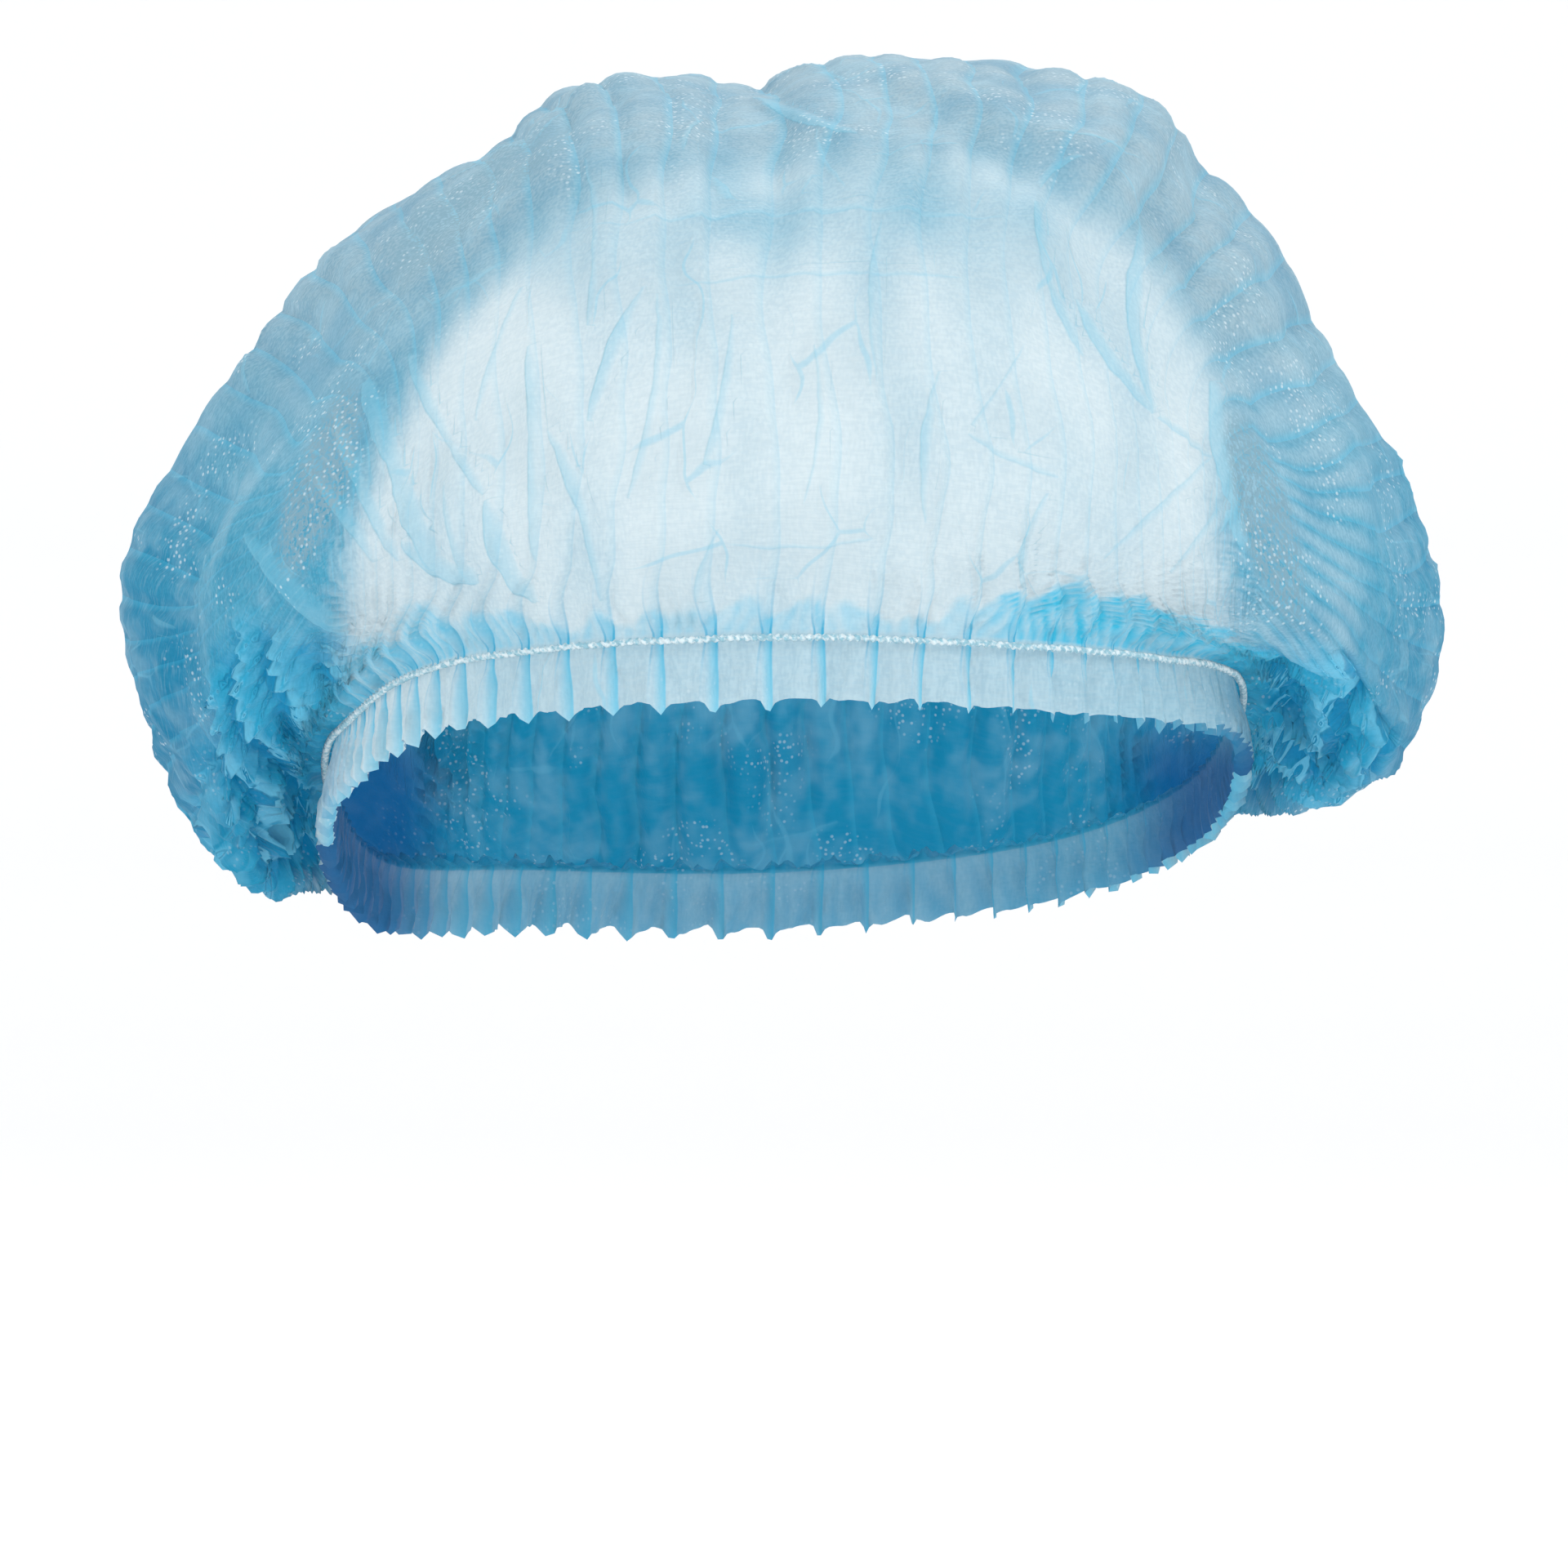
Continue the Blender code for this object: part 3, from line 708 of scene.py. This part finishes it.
class Shading:
    """Short calls for the nodes of one material or node group."""

    def __init__(self, tree):
        self.tree = tree

    def node(self, kind, inputs=(), **settings):
        made = self.tree.nodes.new(kind)
        for key, value in settings.items():
            setattr(made, key, value)
        self.fill(made, dict(inputs))
        return made

    def fill(self, node, inputs):
        """Gives a node's inputs their values, or what other nodes give."""
        for key, value in inputs.items():
            if isinstance(value, bpy.types.NodeSocket):
                self.tree.links.new(value, node.inputs[key])
            else:
                node.inputs[key].default_value = value

    def math(self, kind, a, b=0.0, c=0.0, clamp=False):
        return self.node("ShaderNodeMath", {0: a, 1: b, 2: c}, operation=kind, use_clamp=clamp).outputs[0]

    def times(self, a, b, clamp=False):
        return self.math("MULTIPLY", a, b, clamp=clamp)

    def times_plus(self, a, b, c, clamp=False):
        return self.math("MULTIPLY_ADD", a, b, c, clamp=clamp)

    def plus(self, a, b, clamp=False):
        return self.math("ADD", a, b, clamp=clamp)

    def less(self, a, b):
        return self.math("SUBTRACT", a, b)

    def apart(self, a, b):
        """How far two values are from each other."""
        return self.math("ABSOLUTE", self.less(a, b))

    def ramp(self, value, low, high):
        """0 at low to 1 at high, smoothly; low may be the greater."""
        inputs = {"Value": value, "From Min": low, "From Max": high}
        return self.node("ShaderNodeMapRange", inputs, interpolation_type="SMOOTHSTEP").outputs[0]

    def blend(self, amount, a, b):
        return self.node("ShaderNodeMix", {0: amount, 6: a, 7: b}, data_type="RGBA").outputs[2]

    def noise(self, place, scale, detail=1.0, stretch=(1, 1, 1), turn=(0, 0, 0)):
        """A noise texture: its value, and three values apart from each other."""
        inputs = {"Vector": place, "Scale": stretch, "Rotation": turn}
        at = self.node("ShaderNodeMapping", inputs).outputs[0] if stretch != (1, 1, 1) else place
        made = self.node("ShaderNodeTexNoise", {"Vector": at, "Scale": scale, "Detail": detail})
        return made.outputs["Fac"], made.outputs["Color"]

    def vector(self, kind, inputs):
        return self.node("ShaderNodeVectorMath", inputs, operation=kind).outputs[0]

    def mixed(self, amount, first, second):
        return self.node("ShaderNodeMixShader", {0: amount, 1: first, 2: second}).outputs[0]

    def parts(self, colour):
        return self.node("ShaderNodeSeparateXYZ", {0: colour}).outputs

    def group(self, tree, inputs):
        return self.node("ShaderNodeGroup", inputs, node_tree=tree).outputs

    def attribute(self, name):
        return self.node("ShaderNodeAttribute", attribute_name=name).outputs["Fac"]


def new_material(name):
    """A material: it, its calls and its shader."""
    material = bpy.data.materials.new(name)
    material.use_nodes = True
    return material, Shading(material.node_tree), material.node_tree.nodes["Principled BSDF"]


def new_group(name, inputs, outputs):
    """A shader node group with these inputs and number outputs: it, its calls and its inputs."""
    group = bpy.data.node_groups.new(name, "ShaderNodeTree")
    for key, value in inputs.items():
        kind = "NodeSocketVector" if value is None else "NodeSocketFloat"
        socket = group.interface.new_socket(key, in_out="INPUT", socket_type=kind)
        if value is not None:
            socket.default_value = value
    for key in outputs:
        group.interface.new_socket(key, in_out="OUTPUT", socket_type="NodeSocketFloat")
    made = Shading(group)
    return group, made, made.node("NodeGroupInput").outputs


def spunbond_group():
    """Random fibres, and pressed bond points that show in patches as painted white glints, from places in
    metres.
    """
    sizes = {"Place": None, "Fibres Per Metre": 1900.0, "Bonds Per Metre": 760.0, "Patch": 0.5}
    group, made, came = new_group("Spunbond", sizes, ("Cover", "Bond"))
    place = came["Place"]
    first = made.noise(place, came["Fibres Per Metre"], 1.0, (0.25, 1, 1), (0.3, 0.5, 0.2))[0]
    second = made.noise(place, came["Fibres Per Metre"], 0.0, (1, 1, 0.3), (0.2, -0.4, 0.6))[0]
    fibres = made.times(made.plus(first, second), 0.5)
    inputs = {"Vector": place, "Scale": came["Bonds Per Metre"], "Randomness": 0.7}
    bonds = made.node("ShaderNodeTexVoronoi", inputs).outputs["Distance"]
    bond = made.times(made.ramp(bonds, 0.32, 0.16), made.ramp(came["Patch"], 0.50, 0.62))
    made.node("NodeGroupOutput", {"Cover": made.ramp(fibres, 0.34, 0.66), "Bond": bond})
    return group


def crinkle_group():
    """A net of fine creases drawn out along the pleats, some of them only: their line and their relief."""
    sizes = {"Flat Place": None, "Warp": None, "Patch": 0.5}
    sizes.update({"Cells Per Metre": 60.0, "Length": 3.0, "Line Width": 0.027})
    group, made, came = new_group("Crinkle", sizes, ("Line", "Relief"))
    off = made.vector("SUBTRACT", {0: came["Warp"], 1: (0.5, 0.5, 0.5)})
    size = made.math("DIVIDE", 0.9, came["Cells Per Metre"])
    off = made.vector("SCALE", {0: off, "Scale": size})
    at = made.vector("ADD", {0: came["Flat Place"], 1: off})
    shape = made.node("ShaderNodeCombineXYZ", {0: 1.0, 1: made.math("DIVIDE", 1.0, came["Length"]), 2: 1.0})
    at = made.vector("MULTIPLY", {0: at, 1: shape.outputs[0]})
    inputs = {"Vector": at, "Scale": came["Cells Per Metre"], "Randomness": 1.0}
    cells = made.node("ShaderNodeTexVoronoi", inputs, voronoi_dimensions="2D", feature="DISTANCE_TO_EDGE")
    edge = cells.outputs[0]
    shown = made.ramp(came["Patch"], 0.48, 0.66)
    width = made.times(came["Line Width"], made.plus(shown, 0.001))
    line = made.times(made.ramp(edge, width, made.times(width, 0.3)), shown)
    relief = made.times(made.ramp(edge, made.times(width, 5.0), 0.0), shown)
    made.node("NodeGroupOutput", {"Line": line, "Relief": relief})
    return group


def tuck_group():
    """A tuck: folded cloth with one sharp edge, from how far to the side of its line a place is, in mm."""
    sizes = {"Side": 5.0, "Width": 0.0, "Wobble": 0.5, "Swell": 0.5}
    group, made, came = new_group("Tuck", sizes, ("Fill", "Edge"))
    side = made.times_plus(came["Wobble"], 0.8, made.less(came["Side"], 0.4))
    width = made.times(came["Width"], made.times_plus(came["Swell"], 2.2, -0.1))
    strength = made.times_plus(made.ramp(width, 0.2, 1.0), 0.5, 0.5)
    exists = made.times(made.ramp(width, 0.05, 0.2), strength)
    sharp = made.ramp(side, width, made.less(width, 0.35))
    soft = made.ramp(side, made.times_plus(width, -2.4, -0.1), 0.0)
    fill = made.times(exists, made.times(sharp, soft))
    edge = made.ramp(made.apart(side, made.less(width, 0.2)), 0.42, 0.0)
    made.node("NodeGroupOutput", {"Fill": fill, "Edge": made.times(exists, edge)})
    return group


SPUNBOND = spunbond_group()
CRINKLE = crinkle_group()
TUCK = tuck_group()


def fold_marks(made, near_neck):
    """The folded part of each pleat, the fold's edge, and the wedge that the elastic presses it into."""
    place = made.math("FRACT", made.attribute("fold_number"))
    fold = made.times(made.ramp(place, 0.76, 0.97), made.ramp(place, 1.0, 0.975))
    edge = made.ramp(made.apart(place, 0.965), 0.035, 0.008)
    half_width = made.times_plus(near_neck, -0.17, 0.20)
    off = made.apart(place, 0.88)
    line = made.ramp(made.apart(off, half_width), 0.035, 0.008)
    fill = made.ramp(off, made.plus(half_width, 0.02), made.times(half_width, 0.6))
    wedge = made.times(made.times_plus(fill, 0.45, line), near_neck, clamp=True)
    return fold, edge, wedge


def tuck_marks(made, wobble, swell):
    """The tucks of all three layers: their folded cloth and their edges."""
    fills, edges = [], []
    for name in "abc":
        side = made.attribute("tuck_side_" + name)
        width = made.attribute("tuck_width_" + name)
        tuck = made.group(TUCK, {"Side": side, "Width": width, "Wobble": wobble, "Swell": swell})
        fills.append(tuck["Fill"])
        edges.append(tuck["Edge"])
    fill = made.math("MAXIMUM", made.math("MAXIMUM", *fills[:2]), fills[2])
    edge = made.math("MAXIMUM", made.math("MAXIMUM", *edges[:2]), edges[2])
    return fill, edge


def frilly_marks(made, wobble):
    """The frilly layers: the gaps between them, which get painted shade, and their edges, which get a painted
    highlight.
    """
    tooth = made.math("FRACT", made.times_plus(wobble, 0.5, made.attribute("tooth")))
    tooth = made.math("ABSOLUTE", made.times_plus(tooth, 2.0, -1.0))
    layer = made.math("FRACT", made.times_plus(tooth, 0.40, made.attribute("layer")))
    gap = made.plus(made.ramp(layer, 0.34, 0.0), made.ramp(layer, 0.86, 0.94), clamp=True)
    gap = made.math("MAXIMUM", gap, made.times(made.ramp(tooth, 0.80, 1.0), 0.6))
    lit_edge = made.times(made.ramp(layer, 0.50, 0.80), made.ramp(layer, 0.90, 0.84))
    return gap, lit_edge


def thin_cloth(made, lit, colour, opaque):
    """Lit cloth that glows in its colour from the light behind it, and is only this opaque."""
    glow = made.node("ShaderNodeBsdfTranslucent", {"Color": colour}).outputs[0]
    clear = made.node("ShaderNodeBsdfTransparent").outputs[0]
    return made.mixed(opaque, clear, made.mixed(GLOW_SHARE, lit, glow))


def nonwoven_material():
    """Thin light blue nonwoven: it scatters light back, lets some through, and shows what is behind it."""
    material, made, shader = new_material("nonwoven")
    flat = made.node("ShaderNodeUVMap", uv_map="flat").outputs[0]
    place = made.node("ShaderNodeTexCoord").outputs["Object"]
    near_noise = made.noise(place, NEAR_LUMPS)[1]
    far_noise = made.noise(place, FAR_LUMPS)[1]
    wobble, mottle, _ = made.parts(near_noise)
    swell, patch, faint = made.parts(far_noise)
    strokes = made.noise(flat, STROKES, 0.0, (0.16, 1, 1))[0]
    weave = made.group(SPUNBOND, {"Place": place, "Patch": patch})
    cover, bond = weave["Cover"], weave["Bond"]
    creases = made.group(CRINKLE, {"Flat Place": flat, "Warp": far_noise, "Patch": faint})

    blue = made.attribute("blue")
    near_neck = made.attribute("near_neck")
    window = made.attribute("window")
    loose_part = made.attribute("loose")
    frilly = made.attribute("frilly")
    behind = made.node("ShaderNodeNewGeometry").outputs["Backfacing"]
    fold, fold_edge, wedge = fold_marks(made, near_neck)
    tuck_fill, tuck_edge = tuck_marks(made, wobble, swell)
    gap, lit_edge = frilly_marks(made, wobble)

    # Each of these lies over the ones before it: how much of it shows, and its colour
    thin = made.times_plus(cover, -0.5, made.times_plus(mottle, 0.5, 0.25), clamp=True)
    thin = made.times(thin, made.times_plus(blue, 0.9, 0.12))
    shade = made.times(made.ramp(faint, 0.44, 0.70), 0.22)
    shade = made.times_plus(made.ramp(strokes, 0.42, 0.66), 0.14, shade)
    shade = made.times(shade, made.times_plus(loose_part, -0.8, 1.0))
    cloud = made.times(made.ramp(made.plus(faint, mottle), 0.8, 1.4), loose_part)
    streak = made.times(loose_part, made.times_plus(behind, -0.14, 0.14))
    streak = made.times(made.ramp(strokes, 0.54, 0.72), streak)
    deeper = made.times(made.ramp(swell, 0.42, 0.72), made.times(loose_part, 0.28))
    gathered = made.times(made.attribute("collar"), made.times_plus(wobble, 1.1, 0.35), clamp=True)
    tucks = made.times_plus(tuck_fill, 0.38, made.times(tuck_edge, 0.20))
    bond = made.times(bond, made.times_plus(frilly, -0.8, 1.0))
    body = made.blend(made.ramp(blue, 0.0, 0.5), SHEET_PALE, SHEET_SKY)
    for amount, colour in (
        (made.ramp(blue, 0.45, 1.0), SHEET_BLUE),
        (made.times(made.attribute("greyer_high"), 0.76), SHEET_GREYISH),
        (thin, SHEET_BLUE),
        (shade, SHADE_GREY),
        (made.times_plus(cloud, 0.34, streak), CLOUD_PALE),
        (deeper, SHEET_BLUE),
        (gathered, COLLAR_BLUE),
        (made.times(fold, made.attribute("doubled")), FRILL_FOLD),
        # The fold's edge is a darker line: the doubled cloth, with painted shade along it
        (made.times(fold_edge, made.times_plus(near_neck, 0.6, 0.05)), FOLD_BLUE),
        (made.times(creases["Line"], 0.36), TUCK_BLUE),
        (tucks, TUCK_BLUE),
        (made.times(wedge, 0.8), FOLD_BLUE),
        # Painted shade in the ruffles' valleys
        (made.times(made.attribute("valley"), 0.45), VALLEY_SHADE_BLUE),
        (made.times(frilly, 0.66), RUFFLE_BODY),
        # A painted highlight on the frilly layers' edges, and painted shade in the gaps between them
        (made.times(frilly, made.times(lit_edge, 0.8)), RUFFLE_HIGHLIGHT),
        (made.times(frilly, made.times(gap, 0.9)), VALLEY_SHADE_BLUE),
        (made.times(window, made.ramp(cover, 1.0, 0.3)), WINDOW_GREY),
        # Painted glints on the bond points
        (made.times(bond, made.times_plus(loose_part, 0.42, 0.12)), BOND_GLINT_WHITE),
        # Seen from inside, the cloth is painted darker: painted shade inside the cap
        (made.times(behind, 0.5), INSIDE_SHADE_BLUE),
        # Painted shadow inside, low at the ends of the opening
        (made.times(behind, made.attribute("deep")), INSIDE_END_SHADOW_BLUE),
    ):
        body = made.blend(amount, body, colour)
    made.fill(shader, {"Base Color": body, "Roughness": 0.50, "Specular IOR Level": 0.22})
    made.fill(shader, {"Sheen Weight": 0.04, "Sheen Roughness": 0.5})

    bumps = made.times_plus(creases["Relief"], 0.8, made.times(cover, 0.16))
    bumps = made.times_plus(tuck_fill, 0.5, bumps)
    bumps = made.times_plus(made.times(made.less(1.0, gap), frilly), 2.0, bumps)
    bump = made.node("ShaderNodeBump", {"Strength": 0.6, "Distance": RELIEF, "Height": bumps})
    made.fill(shader, {"Normal": bump.outputs[0]})

    opaque = made.times_plus(made.attribute("sheer"), made.times_plus(cover, 0.08, -0.14), OPACITY)
    opaque = made.times_plus(window, -0.10, opaque)
    opaque = made.times_plus(behind, 0.2, opaque)
    opaque = made.times_plus(made.plus(tuck_fill, fold), 0.14, opaque, clamp=True)
    seen = thin_cloth(made, shader.outputs[0], body, opaque)

    # Light that bounces meets a plain version of the same cloth, which is quicker to work out
    plain_body = made.blend(blue, SHEET_PALE, SHEET_BLUE)
    plain = made.node("ShaderNodeBsdfDiffuse", {"Color": plain_body}).outputs[0]
    plain_seen = thin_cloth(made, plain, plain_body, made.times_plus(loose_part, -0.08, 0.94))
    to_camera = made.node("ShaderNodeLightPath").outputs["Is Camera Ray"]
    final = made.mixed(to_camera, plain_seen, seen)
    made.fill(material.node_tree.nodes["Material Output"], {"Surface": final})
    return material


sheet_mesh.materials.append(nonwoven_material())
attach(sheet, "root")
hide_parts("cap")

# The elastic: a rubber core wrapped in white thread, two plies twisted, sewn on the outside of the
# sheet all the way round its neck line. Its path follows the neck line, and a two-lobed section turns
# as it goes.
ELASTIC_DIAMETER = 0.0016
SEAT = 0.0004 + 0.0003
ELASTIC_POINTS = 240
TWIST_PITCH = 0.0027
TWIST_STEP = 0.00030
SECTION_POINTS = 12
PLY_LOBE = 0.29
PLY_SHARE = 0.90
THREADS_PER_METRE = 1100.0
THREAD_SHADE = (0.30, 0.54, 0.64, 1)
THREAD_WHITE = (0.71, 0.82, 0.86, 1)


def elastic_path():
    around = np.linspace(-180, 180, ELASTIC_POINTS, endpoint=False)
    neck, out = neck_point(around), outward(around)
    down = frill_point(around, np.full(ELASTIC_POINTS, FRILL_LENGTH)) - neck
    down /= np.linalg.norm(down, axis=1)[:, None]
    aside = np.stack((-out[:, 0] * down[:, 2], -out[:, 1] * down[:, 2], (down * out).sum(1)), -1)
    centre = neck + (down + aside) * (SEAT + ELASTIC_DIAMETER / 2)
    centre[:, 2] += rough(centre, 0.006, seed=21) * 0.00012
    curve = bpy.data.curves.new("elastic_path", "CURVE")
    curve.dimensions = "3D"
    spline = curve.splines.new("POLY")
    spline.points.add(ELASTIC_POINTS - 1)
    spline.use_cyclic_u = True
    for point, place in zip(spline.points, centre):
        point.co = (*place, 1)
    return placed("elastic_path", curve)


def cord_tree():
    """A cord of two twisted plies along a curve."""
    tree = bpy.data.node_groups.new("Twisted Cord", "GeometryNodeTree")
    face = tree.interface
    face.new_socket("Path", in_out="INPUT", socket_type="NodeSocketGeometry")
    for name in ("Diameter", "Pitch", "Step", "Lobe"):
        face.new_socket(name, in_out="INPUT", socket_type="NodeSocketFloat")
    face.new_socket("Finish", in_out="INPUT", socket_type="NodeSocketMaterial")
    face.new_socket("Cord", in_out="OUTPUT", socket_type="NodeSocketGeometry")
    made = Shading(tree)
    came = made.node("NodeGroupInput").outputs

    inputs = {"Curve": came["Path"], "Length": came["Step"]}
    even = made.node("GeometryNodeResampleCurve", inputs, mode="LENGTH").outputs[0]
    whole = made.node("GeometryNodeSplineLength").outputs["Length"]
    turns = made.math("ROUND", made.math("DIVIDE", whole, came["Pitch"]))
    run = made.node("GeometryNodeSplineParameter").outputs["Factor"]
    tilt = made.times(made.times(run, turns), 2 * math.pi)
    twisted = made.node("GeometryNodeSetCurveTilt", {"Curve": even, "Tilt": tilt}).outputs[0]

    inputs = {"Resolution": SECTION_POINTS, "Radius": made.times(came["Diameter"], 0.5)}
    circle = made.node("GeometryNodeCurvePrimitiveCircle", inputs).outputs[0]
    place = made.node("GeometryNodeInputPosition").outputs[0]
    across = made.parts(place)
    angle = made.math("ARCTAN2", across["Y"], across["X"])
    lobes = made.times(made.math("COSINE", made.times(angle, 2.0)), came["Lobe"])
    swelling = made.plus(made.less(1.0, came["Lobe"]), lobes)
    moved = made.vector("SCALE", {0: place, "Scale": swelling})
    section = made.node("GeometryNodeSetPosition", {"Geometry": circle, "Position": moved}).outputs[0]

    swept = made.node("GeometryNodeCurveToMesh", {"Curve": twisted, "Profile Curve": section}).outputs[0]
    real = made.node("GeometryNodeRealizeInstances", {0: swept}).outputs[0]
    inputs = {"Geometry": real, "Material": came["Finish"]}
    finished = made.node("GeometryNodeSetMaterial", inputs).outputs[0]
    made.node("NodeGroupOutput", {"Cord": finished})
    return tree


def thread_material():
    """White polyester thread, with fine plies and random grey-blue specks of painted shade."""
    material, made, shader = new_material("elastic_thread")
    place = made.node("ShaderNodeTexCoord").outputs["Object"]
    grain = made.noise(place, THREADS_PER_METRE, 2.0)[0]
    speck = made.node("ShaderNodeMapRange", {"Value": grain, "From Min": 0.42, "From Max": 0.60}).outputs[0]
    bump = made.node("ShaderNodeBump", {"Strength": 0.6, "Distance": 0.0001, "Height": grain}).outputs[0]
    colour = made.blend(speck, THREAD_SHADE, THREAD_WHITE)
    made.fill(shader, {"Base Color": colour, "Roughness": 0.65, "Normal": bump})
    return material


path = elastic_path()
cord = path.modifiers.new("cord", "NODES")
cord.node_group = cord_tree()
settings = {
    "Diameter": ELASTIC_DIAMETER * PLY_SHARE,
    "Pitch": TWIST_PITCH,
    "Step": TWIST_STEP,
    "Lobe": PLY_LOBE,
    "Finish": thread_material(),
}
for item in cord.node_group.interface.items_tree:
    if item.in_out == "INPUT" and item.name in settings:
        cord[item.identifier] = settings[item.name]
seen = path.evaluated_get(bpy.context.evaluated_depsgraph_get())
elastic = placed("elastic_cord", bpy.data.meshes.new_from_object(seen))
bpy.data.objects.remove(path)
elastic.data.shade_smooth()
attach(elastic, "root")
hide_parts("elastic")

# The studio: a pale floor that sweeps up behind, two wide soft lights and one behind that shines
# through the cap
FLOOR_DROP = 0.20
FLOOR_HALF_WIDTH = 4.5
SWEEP = [(-4.5, 0.0), (3.2, 0.0), (3.5, 0.04), (3.8, 0.15), (4.05, 0.36), (4.2, 0.65)]
SWEEP += [(4.27, 1.0), (4.3, 2.6)]
sides = (-FLOOR_HALF_WIDTH, FLOOR_HALF_WIDTH)
floor_points = np.array([(x, y, z - FLOOR_DROP) for x in sides for y, z in SWEEP])
count = len(SWEEP)
floor_faces = np.array([(k, k + count, k + count + 1, k + 1) for k in range(count - 1)])
floor = placed("floor", mesh_of("floor", floor_points, floor_faces))
floor.data.shade_smooth()
paper, made, shader = new_material("backdrop_paper")
made.fill(shader, {"Base Color": (0.97, 0.97, 0.97, 1), "Roughness": 0.9})
floor.data.materials.append(paper)

scene = bpy.context.scene
world = bpy.data.worlds.new("studio")
scene.world = world
world.use_nodes = True
sky = {"Color": (0.98, 0.99, 1.0, 1), "Strength": 1.03}
Shading(world.node_tree).fill(world.node_tree.nodes["Background"], sky)
scene.view_settings.view_transform = "Standard"
scene.cycles.transparent_max_bounces = 16

Lamp = namedtuple("Lamp", "name place size power")
LAMPS = [
    Lamp("key", (0.9, -1.1, 1.0), 0.9, 7),
    Lamp("fill", (-1.1, -1.0, 0.0), 0.9, 2.5),
    Lamp("behind", (0.2, 1.0, 1.3), 0.9, 6),
]
AIM = Vector((0, 0.02, 0.06))
for lamp in LAMPS:
    light = bpy.data.lights.new(lamp.name, "AREA")
    light.size = lamp.size
    light.energy = lamp.power
    holder = placed(lamp.name, light)
    holder.location = lamp.place
    holder.rotation_euler = (AIM - Vector(lamp.place)).to_track_quat("-Z", "Y").to_euler()

# The camera: level with the middle of the opening, and far enough to flatten the cap as a portrait lens
# does. The photograph's frame is square, and holds FRAME_WIDTH at the origin.
CAMERA_DISTANCE = 1.5
FRAME_WIDTH = 0.2866
SENSOR_WIDTH = 36
camera = bpy.data.cameras.new("camera")
camera.sensor_fit = "HORIZONTAL"
camera.sensor_width = SENSOR_WIDTH
camera.lens = SENSOR_WIDTH * CAMERA_DISTANCE / FRAME_WIDTH
camera_holder = placed("camera", camera)
camera_holder.location = (0, -CAMERA_DISTANCE, 0)
camera_holder.rotation_euler = (math.pi / 2, 0, 0)
bpy.context.scene.camera = camera_holder
